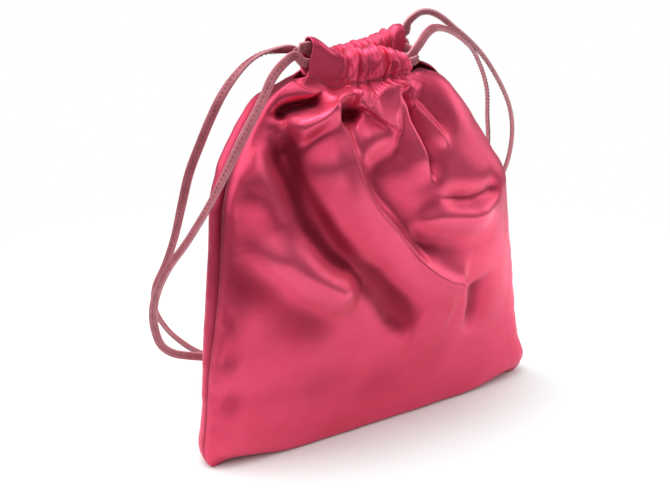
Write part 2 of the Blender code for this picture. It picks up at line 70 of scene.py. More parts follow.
# Part of a noise's values that a change of tone or gloss is spread over
NOISE_RANGE = (0.3, 0.7)


class Panel(Enum):
    """The two panels of cloth; the value is the panel's side along Y."""

    FRONT = -1
    BACK = 1


class Draw(Enum):
    """What random numbers are drawn for; the value keeps its seed apart."""

    RIPPLES = 0
    PUCKERS = 20
    PLEATS = 40
    CREASES = 60


def by_panel(front: object, back: object) -> dict:
    """Dataclass field with one value for the front panel and one for the back."""
    return field(default_factory=lambda: {Panel.FRONT: front, Panel.BACK: back})


def by_side(left: object, right: object) -> dict:
    """Dataclass field with one value for the left side seam, -1, and one for the right, 1."""
    return field(default_factory=lambda: {-1: left, 1: right})


def ease(share: Array) -> Array:
    """Smooth step: 0 below 0, 1 above 1, level at both."""
    share = np.clip(share, 0.0, 1.0)
    return share * share * (3.0 - 2.0 * share)


def climb(value: Array, start: float, width: float) -> Array:
    """Smooth step that starts at a value and is 1 a width further on."""
    return ease((value - start) / width)


def bell(value: Array, centre: float, width: float) -> Array:
    """Bell curve exp(-((value - centre) / width)^2)."""
    return np.exp(-((value - centre) / width) ** 2)


def curve(table: Table, at: Array) -> Array:
    """Smooth curve through a table's rows that doesn't overshoot them.

    Each stretch is a cubic, with the harmonic mean of its neighbours' slopes at its ends.

    Args:
        table: rows (key, value) with rising keys.
        at: where the curve is read.

    Returns:
        The curve's values, in the shape of at.
    """
    keys, values = np.array(table).T
    steps = np.diff(keys)
    slopes = np.diff(values) / steps
    tangents = np.zeros_like(values)
    same = slopes[:-1] * slopes[1:] > 0
    safe = np.where(same, slopes[:-1] + slopes[1:], 1.0)
    tangents[1:-1] = np.where(same, 2.0 * slopes[:-1] * slopes[1:] / safe, 0.0)
    tangents[0], tangents[-1] = slopes[0], slopes[-1]
    at = np.asarray(at, float)
    i = np.clip(np.searchsorted(keys, at, side="right") - 1, 0, len(steps) - 1)
    t = (at - keys[i]) / steps[i]
    rise = t * t * (3.0 - 2.0 * t)
    bend = t * (1.0 - t) * steps[i] * ((1.0 - t) * tangents[i] - t * tangents[i + 1])
    return values[i] * (1.0 - rise) + values[i + 1] * rise + bend


def unit(vectors: Array) -> Array:
    """Vectors of length 1 along the last axis."""
    return vectors / np.maximum(np.linalg.norm(vectors, axis=-1, keepdims=True), TINY)


def outward(points: Array, side: int) -> Array:
    """Unit normals of a panel's grid that look away from the pouch; side is its side along Y."""
    return unit(np.cross(np.gradient(points, axis=1), np.gradient(points, axis=0))) * -side


def arc_length(points: Array) -> Array:
    """Distance along a line of points from its start to each point."""
    return np.concatenate([[0.0], np.cumsum(np.linalg.norm(np.diff(points, axis=0), axis=1))])


def read_along(at: Array, run: Array, rows: Array) -> Array:
    """What a line's points hold at given places, straight between neighbours.

    Args:
        at: places along the line, (count,).
        run: place of each of its points, (n,).
        rows: three numbers for each point, (n, 3).

    Returns:
        Three numbers for each place, (count, 3).
    """
    return np.stack([np.interp(at, run, rows[:, k]) for k in range(3)], axis=-1)


def smooth_line(points: Array, count: int) -> Array:
    """Even points on a smooth curve through the given ones.

    The curve is a cubic between neighbours, with slopes from the points on both sides, and its
    parameter is the sum of the square roots of the steps, which keeps close points from looping.

    Args:
        points: the line's own points, (n, 3).
        count: how many points to return.

    Returns:
        Points at even distances, (count, 3).
    """
    points = np.asarray(points, float)
    roots = np.sqrt(np.linalg.norm(np.diff(points, axis=0), axis=1))
    keys = np.concatenate([[0.0], np.cumsum(roots)])
    slopes = np.gradient(points, keys, axis=0)
    at = np.linspace(0.0, keys[-1], 6 * count)
    i = np.clip(np.searchsorted(keys, at, side="right") - 1, 0, len(keys) - 2)
    gap = np.diff(keys)[i][:, None]
    t = (at - keys[i])[:, None] / gap
    fine = ((1 + 2 * t) * (1 - t) ** 2 * points[i] + t * (1 - t) ** 2 * gap * slopes[i]
            + t * t * (3 - 2 * t) * points[i + 1] + t * t * (t - 1) * gap * slopes[i + 1])
    run = arc_length(fine)
    return read_along(np.linspace(0.0, run[-1], count), run, fine)


def moving_average(values: Array, reach: int, axis: int) -> Array:
    """Mean of the values round each one along an axis; beyond the grid its edge repeats.

    The mean is a difference of running sums. Its window holds 2 reach + 1 values, from reach - 1
    before a value to reach + 1 after it.

    Args:
        values: a grid, (rows, columns).
        reach: half the window.
        axis: 0 up the cloth or 1 across it.

    Returns:
        The means, in the shape of values.
    """
    span = 2 * reach + 1
    padding = [(0, 0), (0, 0)]
    padding[axis] = (reach, reach + 1)
    sums = np.cumsum(np.pad(values, padding, mode="edge"), axis=axis)
    count = sums.shape[axis]
    return (np.take(sums, range(span, count), axis) - np.take(sums, range(count - span), axis)) / span


def grid_faces(rows: int, columns: int, wrap: bool = False) -> Array:
    """Quads of a grid of points numbered row by row.

    Args:
        rows: rows of points.
        columns: points in a row.
        wrap: joins the last column to the first.

    Returns:
        Point numbers, (quads, 4).
    """
    last = columns if wrap else columns - 1
    row, column = np.meshgrid(np.arange(rows - 1), np.arange(last), indexing="ij")
    after = (column + 1) % columns
    corners = [row * columns + column, row * columns + after, (row + 1) * columns + after,
               (row + 1) * columns + column]
    return np.stack(corners, axis=-1).reshape(-1, 4)


def put_mesh(name: str, points: Array, faces: Array, uv: Array | None = None,
             caps: list[list[int]] | None = None) -> Piece:
    """New object whose mesh holds the given surface, shaded smooth.

    Args:
        name: the piece's name.
        points: its points, in any shape that ends in 3.
        faces: quads as point numbers, (n, 4).
        uv: a place on the cloth for each point, ending in 2.
        caps: extra faces with any number of corners.

    Returns:
        The object, linked to the scene at the origin.
    """
    mesh = bpy.data.meshes.new(name)
    mesh.from_pydata(points.reshape(-1, 3).tolist(), [], faces.tolist() + (caps or []))
    mesh.shade_smooth()
    if uv is not None:
        corner = np.zeros(len(mesh.loops), np.int32)
        mesh.loops.foreach_get("vertex_index", corner)
        layer = mesh.uv_layers.new(name="cloth")
        layer.data.foreach_set("uv", uv.reshape(-1, 2)[corner].astype(np.float32).ravel())
    piece = bpy.data.objects.new(name, mesh)
    bpy.context.scene.collection.objects.link(piece)
    return piece


def put_values(piece: Piece, name: str, values: Array) -> None:
    """Writes one number for each point of a piece into its mesh, for its material to read."""
    layer = piece.data.attributes.new(name, "FLOAT", "POINT")
    layer.data.foreach_set("value", values.ravel().astype(np.float32))


def capsules(starts: Array, ends: Array, lifts: Array, radius: float, rings: int = 5,
             sides: int = 8) -> tuple[Array, Array, list[list[int]]]:
    """Many short stitches at once: round threads that bow up between their two holes.

    A stitch's middle line is the straight from its start to its end, raised by the sine of its
    share times its lift, and its radius falls off at both ends as a rounded tip.

    Args:
        starts: first hole of each stitch, (n, 3).
        ends: second hole of each stitch, (n, 3).
        lifts: how far and which way each stitch bows, (n, 3).
        radius: the thread's radius.
        rings: rings along a stitch.
        sides: corners of a ring.

    Returns:
        The points, the quads and the end caps.
    """
    share = np.linspace(0.0, 1.0, rings)[None, :, None]
    middle = (starts[:, None] * (1 - share) + ends[:, None] * share
              + np.sin(math.pi * share) * lifts[:, None])
    along = unit(ends - starts)
    side = unit(np.cross(along, lifts))
    up = np.cross(side, along)
    tip = np.clip(1.0 - np.abs(2.0 * share - 1.0) ** TIP_POWER, TIP_LEAST, 1.0)
    swell = radius * np.sqrt(tip)[..., None]
    angle = np.linspace(0.0, 2.0 * math.pi, sides, endpoint=False)[None, None, :, None]
    ring = np.cos(angle) * side[:, None, None] + np.sin(angle) * up[:, None, None]
    points = middle[:, :, None] + swell * ring
    step = rings * sides
    offsets = np.arange(len(starts)) * step
    one = grid_faces(rings, sides, wrap=True)
    faces = (one[None] + offsets[:, None, None]).reshape(-1, 4)[:, ::-1]
    first, last = list(range(sides)), list(range(step - sides, step))[::-1]
    caps = [[int(k + offset) for k in cap] for offset in offsets for cap in (first, last)]
    return points, faces, caps


@dataclass(frozen=True)
class Fold:
    """A fold of cloth: a crest line in shares (across, up), with a height and two flanks.

    Attributes:
        points: the crest, as shares of the cloth.
        height: metres out of the smooth form, negative for a valley.
        left: width of the flank on the left of the crest's direction, metres.
        right: width of the flank on its right.
        power: 1 for a sharp crest, 2 for a round one, more for a flat-topped roll.
        fade_in: share of the length over which the fold rises at its start.
        fade_out: share of the length over which it sinks at its end.
        lean: metres that the crest is pushed over its narrower flank.
    """

    points: Table
    height: float
    left: float
    right: float
    power: float = 1.6
    fade_in: float = 0.2
    fade_out: float = 0.2
    lean: float = 0.0


@dataclass(frozen=True)
class PouchForm:
    """Driving sizes and outlines of the sewn and stuffed pouch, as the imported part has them.

    Lengths are metres. Up runs from 0 at the base seam to 1 at the stitch line under the casing,
    across and columns of cloth from -1 at the left side seam to 1 at the right. A name with zone
    is a share over which something grows or dies out, and a table is read by curve().

    Attributes:
        depth: how far each panel stands out at its fullest.
        seam_set_back: how far the base seam's middle lies behind the middle plane.
        side_puff: how far each panel's flanks stand out sideways.
        depth_shift: place of the middle plane along Y.
        mouth_shift: place of the mouth's middle along X.
        mouth_shear: how far the back panel's mouth is moved to the right, the front's to the left.
        casing_flare: how far the casing's ends stand out at the top.
        lean: how far its left and right ends lean along X, for each panel.
        tunnel: distance of each casing's middle from the middle plane.
        slit_share: how far the open ends stand out past the tunnel, in half casing depths.
        seam_roll: radius of the cloth's turn into a seam.
        flank: share of the half width at each side seam, by up.
        shoulder: share of the way from flank to mouth there, by up.
        bulge: share of each panel's depth, by up.
        stitch_lift: how much higher the stitch line's left and right ends lie.
        casing_shape: share of the casing's height, by column.
    """

    half_width: float = 0.1130
    stitch_height: float = 0.2060
    depth: dict = by_panel(0.0310, 0.0330)
    seam_set_back: float = 0.0070
    set_back_zone: Pair = (0.25, 0.05)
    side_puff: dict = by_panel(0.0065 / 3, 0.0065)
    puff_zone: Pair = (0.5, 0.1)
    depth_shift: float = -0.0005
    mouth_width: float = 0.0660
    mouth_shift: float = -0.0125
    mouth_shear: float = 0.0070
    casing_height: float = 0.0192
    casing_flare: float = 0.0024
    casing_half_depth: float = 0.0043
    lean: dict = by_panel((0.0062, -0.0010), (0.0062, -0.0062))
    tunnel: float = 0.0090
    slit_share: float = 0.6
    shear_start: float = 0.70
    slit_start: float = 0.945
    lift_start: float = 0.8
    cloth: float = 0.0008
    seam_roll: float = 0.0014
    touch_gap: float = 0.0003
    hem_gap: float = 0.0010
    seam_zone: float = 0.5
    section_power: float = 2.6
    section_root: float = 1.7
    base_power: float = 7.0
    base_zone: float = 0.22
    flank: dict = by_side(
        ((0.0, 0.965), (0.03, 0.99), (0.07, 1.0), (0.13, 0.985), (0.26, 0.965), (0.42, 0.915),
         (0.55, 0.885), (0.70, 0.86), (1.0, 0.80)),
        ((0.0, 0.945), (0.03, 0.98), (0.07, 1.0), (0.12, 0.965), (0.22, 0.925), (0.36, 0.88),
         (0.50, 0.83), (0.62, 0.80), (1.0, 0.78)))
    shoulder: dict = by_side(
        ((0.0, 0.0), (0.66, 0.0), (0.74, 0.06), (0.80, 0.18), (0.90, 0.49), (0.965, 0.82),
         (1.0, 1.0)),
        ((0.0, 0.0), (0.60, 0.01), (0.70, 0.20), (0.81, 0.48), (0.91, 0.75), (0.965, 0.90),
         (1.0, 1.0)))
    rise_at_seam: Table = (
        (0.0, 0.0), (0.008, 0.0045), (0.045, 0.03), (0.10, 0.085), (0.26, 0.255), (0.55, 0.572),
        (0.72, 0.775), (0.81, 0.885), (0.90, 0.97), (1.0, 1.0))
    rise_at_middle: Table = (
        (0.0, 0.0), (0.045, 0.0), (0.062, 0.008), (0.085, 0.035), (0.13, 0.085), (0.32, 0.30),
        (0.55, 0.56), (0.78, 0.80), (1.0, 1.0))
    bulge: dict = by_panel(
        ((0.0, 0.0), (0.045, 0.20), (0.062, 0.29), (0.085, 0.345), (0.13, 0.40), (0.22, 0.56),
         (0.36, 0.79), (0.52, 0.96), (0.66, 1.0), (0.80, 0.90), (0.90, 0.68), (0.965, 0.50),
         (1.0, 0.39)),
        ((0.0, 0.0), (0.045, 0.58), (0.062, 0.66), (0.085, 0.71), (0.13, 0.76), (0.22, 0.85),
         (0.36, 0.95), (0.52, 1.0), (0.66, 0.98), (0.80, 0.84), (0.90, 0.62), (0.965, 0.46),
         (1.0, 0.365)))
    stitch_lift: dict = by_panel((0.0080, 0.0), (0.0045, 0.0040))
    casing_shape: dict = by_panel(
        ((-1.0, 1.03), (-0.4, 0.98), (0.3, 0.92), (0.65, 0.80), (0.85, 0.64), (1.0, 0.50)),
        ((-1.0, 0.84), (-0.6, 0.74), (-0.2, 0.80), (0.2, 0.84), (0.6, 0.96), (1.0, 0.88)))

    def across(self, column: Array, up: Array) -> Array:
        """Share across for a column of cloth: columns lie closer near the body's seams."""
        gathered = ease((up - 0.5) / 0.5)
        return column * (1.5 - 0.5 * column * column) * (1.0 - gathered) + column * gathered

    def edge(self, side: int, up: Array) -> Array:
        """Distance of a side seam from the middle of the pouch.

        Args:
            side: -1 left or 1 right.
            up: share up the cloth.

        Returns:
            Metres, in the shape of up.
        """
        mouth = self.mouth_width / 2 + side * self.mouth_shift
        shoulder = curve(self.shoulder[side], up)
        return self.half_width * curve(self.flank[side], up) * (1.0 - shoulder) + mouth * shoulder

    def surface(self, panel: Panel, column: Array, up: Array) -> Array:
        """Smooth stuffed form of a panel below its stitch line, without folds.

        A level section is a rounded oblong, (1 - |u|^p)^(1/1.7) of the depth, squarer near the
        base, and the depth follows the panel's bulge up the cloth.

        Args:
            panel: which panel.
            column: share along the cloth's width, -1 to 1.
            up: share up the cloth, 0 at the base seam to 1 at the stitch line.

        Returns:
            Points, in the shape of column with 3 at its end.
        """
        u = self.across(column, up)
        inward = 1.0 - np.abs(u)
        middle = ease(inward / self.seam_zone)
        opened = climb(up, self.slit_start, 1.0 - self.slit_start)
        sheared = (middle * climb(up, self.shear_start, 1.0 - self.shear_start)
                   + (1.0 - middle) * opened)
        x = (self.edge(1, up) * (1.0 + u) - self.edge(-1, up) * (1.0 - u)) / 2
        x = x + panel.value * self.mouth_shear * sheared
        z = self.stitch_height * (curve(self.rise_at_seam, up) * (1.0 - middle)
                                  + curve(self.rise_at_middle, up) * middle)
        lift = np.where(u < 0, *self.stitch_lift[panel])
        z = z + lift * (1.0 - middle) * climb(up, self.lift_start, 1.0 - self.lift_start)
        power = self.section_power + self.base_power * (1.0 - ease(up / self.base_zone))
        full = np.clip(1.0 - np.abs(u) ** power, 0.0, None) ** (1 / self.section_root)
        depth = self.depth[panel] * curve(self.bulge[panel], up)
        slit = (self.tunnel + self.slit_share * self.casing_half_depth) * opened
        grown, gone = self.puff_zone
        puff = self.side_puff[panel] * ease(up / grown) * ease((1.0 - up) / gone)
        x = x + np.sign(u) * puff * (4.0 * full * (1.0 - full))
        beside, above = self.set_back_zone
        seam = self.seam_set_back * ease(inward / beside) * (1.0 - ease(up / above))
        y = panel.value * (slit + (depth - slit) * full) + seam
        return np.stack([x, y + self.depth_shift, z], axis=-1)

    def crest(self, panel: Panel, points: Table, count: int) -> Array:
        """Crest line in the front view, on a smooth curve through its shares.

        The shares are those of the form with a mouth that isn't sheared, and each share across
        is turned back into its column by small corrections.

        Args:
            panel: which panel.
            points: shares (across, up).
            count: how many points to return.

        Returns:
            Points (x, z), (count, 2).
        """
        shares = np.array(points)
        keys = arc_length(shares)
        at = np.linspace(0.0, keys[-1], count)
        u = curve(tuple(zip(keys, shares[:, 0])), at)
        up = curve(tuple(zip(keys, shares[:, 1])), at)
        column = u.copy()
        for _ in range(SOLVE_STEPS):
            column = column - (self.across(column, up) - u) / STEEPEST
        bare = replace(self, mouth_shear=0.0)
        return bare.surface(panel, np.clip(column, -1.0, 1.0), up)[:, [0, 2]]


FRONT_FOLDS = (
    # Long ridge from the tongue down to the lower right, with its hooked end
    Fold(((-0.7, 0.948), (-0.51, 0.914), (-0.4, 0.875), (-0.31, 0.796), (-0.19, 0.691), (-0.08, 0.617),
          (0.03, 0.557), (0.14, 0.494), (0.24, 0.457), (0.36, 0.425), (0.49, 0.407)), 0.0052, 0.006,
          0.021, 1.3, 0.08, 0.06),
    Fold(((-0.51, 0.914), (-0.4, 0.875), (-0.31, 0.796), (-0.19, 0.691), (-0.08, 0.617), (0.03, 0.557),
          (0.14, 0.494), (0.24, 0.457), (0.36, 0.425), (0.5, 0.402)), 0.0014, 0.0022, 0.0024, 1.5, 0.08,
          0.08),
    Fold(((-0.28, 0.823), (-0.19, 0.755), (-0.1, 0.673), (-0.01, 0.604), (0.11, 0.544), (0.24, 0.494)),
          -0.0036, 0.013, 0.0052, 1.9, 0.25, 0.25),
    # Deep valley along its lower left, with the bank that rises from it
    Fold(((-0.94, 0.881), (-0.8, 0.818), (-0.65, 0.753), (-0.55, 0.677), (-0.46, 0.6), (-0.32, 0.522),
          (-0.16, 0.469), (-0.03, 0.405), (0.07, 0.34), (0.16, 0.308), (0.22, 0.314)), -0.0068, 0.0084,
          0.012, 1.8, 0.14, 0.2),
    Fold(((-0.96, 0.717), (-0.92, 0.687), (-0.87, 0.654), (-0.83, 0.62), (-0.76, 0.59), (-0.67, 0.56),
          (-0.57, 0.525), (-0.45, 0.493), (-0.32, 0.467), (-0.19, 0.448)), 0.008, 0.011, 0.013, 2.0,
          0.34, 0.26),
    # Two thin ridges that run down to the bank from the left shoulder, and the pocket between
    Fold(((-0.98, 0.828), (-0.9, 0.787), (-0.82, 0.741), (-0.75, 0.687), (-0.69, 0.636)), 0.0034,
          0.0052, 0.005, 1.7, 0.4, 0.4),
    Fold(((-0.92, 0.749), (-0.87, 0.711), (-0.81, 0.671), (-0.77, 0.63)), -0.0014, 0.006, 0.007, 2.0,
          0.45, 0.5),
    # Flap of the left shoulder, and the dark hollow under its edge
    Fold(((-0.96, 0.864), (-0.93, 0.897), (-0.86, 0.922), (-0.79, 0.945), (-0.78, 0.976)), 0.005, 0.012,
          0.0014, 1.6, 0.15, 0.2, 0.002),
    Fold(((-0.93, 0.858), (-0.89, 0.892), (-0.82, 0.916), (-0.74, 0.941), (-0.72, 0.967)), -0.0086,
          0.0026, 0.0058, 1.9, 0.2, 0.2),
    # Tongue of cloth that rolls down from the casing to the lower left
    Fold(((-0.43, 1.0), (-0.54, 1.0), (-0.6, 0.976), (-0.63, 0.941), (-0.69, 0.904), (-0.76, 0.871),
          (-0.81, 0.855)), 0.0084, 0.0072, 0.0078, 2.6, 0.01, 0.12),
    # Hollow under the tongue's right edge, the lip above it and the hump below it
    Fold(((-0.53, 0.928), (-0.42, 0.93), (-0.28, 0.93), (-0.15, 0.915)), -0.008, 0.003, 0.0044, 1.8,
          0.12, 0.4),
    Fold(((-0.4, 0.952), (-0.24, 0.944), (-0.09, 0.926), (0.02, 0.897), (0.11, 0.87), (0.22, 0.851)),
          0.0044, 0.013, 0.0016, 1.6, 0.15, 0.2, 0.0016),
    Fold(((-0.68, 0.811), (-0.57, 0.807), (-0.45, 0.802), (-0.33, 0.805)), 0.0026, 0.01, 0.012, 2.0,
          0.4, 0.4),
    Fold(((-0.29, 0.845), (-0.15, 0.856), (0.01, 0.857), (0.19, 0.85)), 0.0034, 0.006, 0.009, 1.8, 0.35,
          0.2),
    Fold(((0.21, 0.834), (0.04, 0.806), (-0.11, 0.782), (-0.22, 0.747)), -0.0022, 0.008, 0.008, 2.0,
          0.3, 0.45),
    # Folds that come straight down from the casing at the right
    Fold(((0.29, 1.0), (0.36, 0.965), (0.37, 0.921), (0.35, 0.874), (0.34, 0.811), (0.32, 0.76),
          (0.3, 0.698)), 0.004, 0.0026, 0.012, 1.6, 0.02, 0.25),
    Fold(((0.4, 0.968), (0.43, 0.921), (0.39, 0.871), (0.38, 0.807), (0.37, 0.749), (0.36, 0.687)),
          -0.0056, 0.0056, 0.0026, 1.7, 0.1, 0.25),
    Fold(((0.51, 0.988), (0.5, 0.95), (0.53, 0.905), (0.54, 0.853), (0.55, 0.808), (0.59, 0.767)),
          0.0038, 0.0044, 0.0036, 1.5, 0.02, 0.3),
    Fold(((0.58, 0.938), (0.61, 0.887), (0.64, 0.838), (0.69, 0.782)), -0.003, 0.006, 0.006, 1.8, 0.15,
          0.4),
    # Creases and rolls across the right half
    Fold(((0.3, 0.693), (0.33, 0.657), (0.44, 0.631), (0.57, 0.617), (0.71, 0.612), (0.85, 0.618)),
          -0.0034, 0.008, 0.0036, 1.8, 0.3, 0.2),
    Fold(((0.03, 0.564), (0.12, 0.593), (0.24, 0.605), (0.39, 0.597), (0.56, 0.583), (0.71, 0.583),
          (0.82, 0.602)), 0.004, 0.0064, 0.012, 2.0, 0.25, 0.3),
    Fold(((0.07, 0.548), (0.22, 0.542), (0.4, 0.527), (0.57, 0.52), (0.73, 0.538)), -0.0014, 0.008,
          0.01, 2.0, 0.3, 0.3),
    Fold(((0.56, 0.405), (0.57, 0.353), (0.56, 0.285), (0.52, 0.23)), -0.004, 0.011, 0.005, 2.0, 0.2,
          0.5),
    # Shallow dimples along the left seam and a slack wave across the lower body
    Fold(((-1.0, 0.422), (-0.97, 0.423), (-0.91, 0.425)), -0.0007, 0.006, 0.006, 2.0, 0.3, 0.5),
    Fold(((-0.98, 0.325), (-0.94, 0.322), (-0.86, 0.317)), -0.0008, 0.007, 0.007, 2.0, 0.3, 0.5),
    Fold(((-0.96, 0.22), (-0.91, 0.205), (-0.82, 0.186)), -0.0009, 0.007, 0.007, 2.0, 0.3, 0.5),
    Fold(((-0.77, 0.217), (-0.43, 0.203), (-0.06, 0.199), (0.3, 0.222)), -0.0012, 0.018, 0.016, 2.0,
          0.35, 0.35),
)

BACK_FOLDS = (
    Fold(((-0.55, 0.97), (-0.5, 0.8), (-0.36, 0.6), (-0.3, 0.42)), 0.0048, 0.007, 0.011, 1.5, 0.05,
          0.4),
    Fold(((-0.62, 0.96), (-0.62, 0.84), (-0.52, 0.7)), -0.003, 0.006, 0.006, 1.6, 0.05, 0.4),
    Fold(((-0.25, 0.97), (-0.22, 0.82), (-0.08, 0.66)), -0.0045, 0.007, 0.007, 1.6, 0.05, 0.4),
    Fold(((-0.14, 0.97), (-0.12, 0.88), (-0.02, 0.78)), 0.0026, 0.004, 0.005, 1.5, 0.05, 0.4),
    Fold(((0.05, 0.97), (0.06, 0.8), (0.16, 0.62), (0.14, 0.4)), 0.005, 0.011, 0.007, 1.5, 0.05, 0.4),
    Fold(((0.22, 0.97), (0.24, 0.86), (0.28, 0.76)), -0.0028, 0.005, 0.005, 1.6, 0.05, 0.4),
    Fold(((0.4, 0.97), (0.38, 0.82), (0.46, 0.64)), -0.0045, 0.007, 0.007, 1.6, 0.05, 0.4),
    Fold(((0.62, 0.96), (0.62, 0.8), (0.74, 0.62)), 0.004, 0.008, 0.007, 1.5, 0.05, 0.4),
    Fold(((-0.8, 0.62), (-0.45, 0.52), (-0.05, 0.54), (0.4, 0.46)), -0.0034, 0.008, 0.008, 1.7, 0.25,
          0.3),
    Fold(((-0.7, 0.54), (-0.3, 0.47), (0.1, 0.48)), 0.0022, 0.009, 0.01, 1.8, 0.3, 0.3),
    Fold(((-0.6, 0.3), (-0.1, 0.24), (0.45, 0.31)), 0.003, 0.012, 0.012, 2.0, 0.3, 0.3),
    Fold(((0.5, 0.52), (0.66, 0.44), (0.88, 0.4)), 0.0026, 0.007, 0.008, 1.6, 0.3, 0.3),
    Fold(((-0.88, 0.44), (-0.7, 0.36), (-0.52, 0.34)), 0.0022, 0.008, 0.008, 1.7, 0.3, 0.3),
)


@dataclass
class SatinPanel:
    """One panel of satin with its folds, and its top gathered and turned over as a casing.

    Attributes:
        form: the pouch's sizes.
        panel: front or back.
        folds: its folds.
        tucks: share across at which each tuck between two pleats of the casing lies.
        depths: how far each pleat stands out, metres.
        columns: grid columns.
        body_rows: grid rows below the stitch line.
        seam_rows: up of two extra rows at the base seam's turn.
        roll_reach: width of the turn into a seam, in its radii.
        gain: factor on the height of every fold.
        fold_reach: how far a fold is worked out, in widths of its wider flank.
        flank_blend: distance from the crest over which one flank gives way to the other.
        tuck_fade: start outside the last tucks, and width, of the gathers' growth at both ends.
        gather_share: share of the pleats' depth at the stitch line; outer_share, inner_share and
            crown_share are those at the casing's top, outside, inside and in its height.
        relief_reach: grid steps over which a point is compared with its neighbours.
        relief_depth: difference in depth that counts as a whole hollow or crest.

    The other clear, fade, start and top values are shares across or up the cloth at which, or
    over which, folds, ripples, puckers, gathers and walls grow or die out.
    """

    form: PouchForm
    panel: Panel
    folds: tuple[Fold, ...]
    tucks: tuple[float, ...]
    depths: tuple[float, ...]
    columns: int = 236
    body_rows: int = 132
    wall_rows: int = 16
    crown_rows: int = 9
    hem_rows: int = 9
    row_crowding: float = 0.35
    seam_rows: Pair = (0.003, 0.0055)
    roll_reach: float = 1.2
    gain: float = 1.25
    crest_points: int = 33
    fold_reach: float = 3.2
    flank_blend: float = 0.0006
    seam_clear: float = 0.06
    base_clear: float = 0.06
    base_fade: float = 0.08
    top_fade: float = 0.03
    ripple_clear: float = 0.15
    small_fade: float = 0.05
    ripple_sizes: Table = ((0.9, 0.00035), (0.55, 0.0002), (0.34, 0.00012), (0.22, 0.00006))
    pucker_sizes: Table = ((7.0, 0.00016), (13.0, 0.00013), (24.0, 0.00008))
    side_puckers: Pair = (0.10, 0.07)
    base_puckers: Pair = (0.07, 0.04)
    pucker_top: float = 0.95
    pucker_fade: float = 0.1
    fade_start: float = 0.88
    fade_power: float = 1.5
    gather_share: float = 0.5
    pleat_power: float = 1.7
    pleat_skews: Pair = (0.6, 1.6)
    pleat_slant: float = 0.35
    first_slant: float = 0.5
    tuck_fade: Table = ((0.12, 0.16), (0.10, 0.12))
    crease_counts: tuple[float, ...] = (9.0, 14.0, 23.0, 31.0)
    crease_height: float = 0.0075
    crease_level: float = 0.6
    crease_drift: float = 4.0
    crease_dip: float = 0.8
    dip: float = 0.0026
    dip_rise: float = 2.0
    outer_share: float = 0.8
    inner_share: float = 0.5
    crown_share: float = 0.2
    wall_top: float = 0.92
    wall_start: float = 0.3
    wall_bow: float = 0.0009
    hem_start: float = 0.21
    relief_reach: int = 9
    relief_depth: float = 0.0034

    def seeded(self, draw: Draw) -> np.random.RandomState:
        """The panel's own random numbers for one use, the same in every run."""
        return np.random.RandomState(SEED + draw.value + self.panel.value)

    def pleats(self, column: Array, rise: float = 0.0) -> Array:
        """Gathers along the casing, 1 on a pleat's top and 0 in a tuck.

        Between two tucks a pleat is 1 - |2 t - 1|^1.7, where t is its share of the gap to the
        power of its own skew, so it is rounded on top, sharp in the tucks and leans over to one
        side. The tucks slant by their own amounts from the stitch line up.

        Args:
            column: share along the cloth's width.
            rise: share of the way up the casing.

        Returns:
            Shares of the pleats' depth, in the shape of column.
        """
        rng = self.seeded(Draw.PLEATS)
        tucks = np.array(self.tucks)
        slant = rng.uniform(-self.pleat_slant, self.pleat_slant, len(tucks)) * np.gradient(tucks)
        slant[0] = self.first_slant * (tucks[1] - tucks[0])
        tucks = tucks + slant * rise
        skews = rng.uniform(*self.pleat_skews, len(tucks))
        i = np.clip(np.searchsorted(tucks, column, side="right") - 1, 0, len(tucks) - 2)
        share = np.clip((column - tucks[i]) / (tucks[i + 1] - tucks[i]), 0.0, 1.0)
        inside = (column > tucks[0]) & (column < tucks[-1])
        top = 1.0 - np.abs(2.0 * share ** skews[i] - 1.0) ** self.pleat_power
        return np.where(inside, top, 0.0)

    def creases(self, column: Array, rise: float) -> Array:
        """Fine creases of the gathered casing: seeded ridged sines that drift sideways with height.

        Args:
            column: share along the cloth's width.
            rise: share of the way up the casing.

        Returns:
            Metres out of the smooth wall, in the shape of column.
        """
        rng = self.seeded(Draw.CREASES)
        total = np.zeros_like(column)
        for count in self.crease_counts:
            phase = rng.uniform(0, 2 * math.pi)
            drift = rng.uniform(-self.crease_drift, self.crease_drift)
            wave = np.abs(np.sin(math.pi * count / 2 * column + drift * rise + phase))
            total += self.crease_height / count * (self.crease_level - wave)
        return total * self.tucked(column)

    def pleat_depth(self, column: Array) -> Array:
        """Height of the pleat at each column, straight between the pleats' middles."""
        tucks = np.array(self.tucks)
        return np.interp(column, (tucks[1:] + tucks[:-1]) / 2, self.depths)

    def tucked(self, column: Array) -> Array:
        """1 along the gathered stretch, easing to 0 before its first and after its last tuck.

        Args:
            column: share along the cloth's width.

        Returns:
            Shares, in the shape of column.
        """
        (lead, rise), (trail, fall) = self.tuck_fade
        grown = ease((column - self.tucks[0] + lead) / rise)
        return grown * ease((self.tucks[-1] + trail - column) / fall)

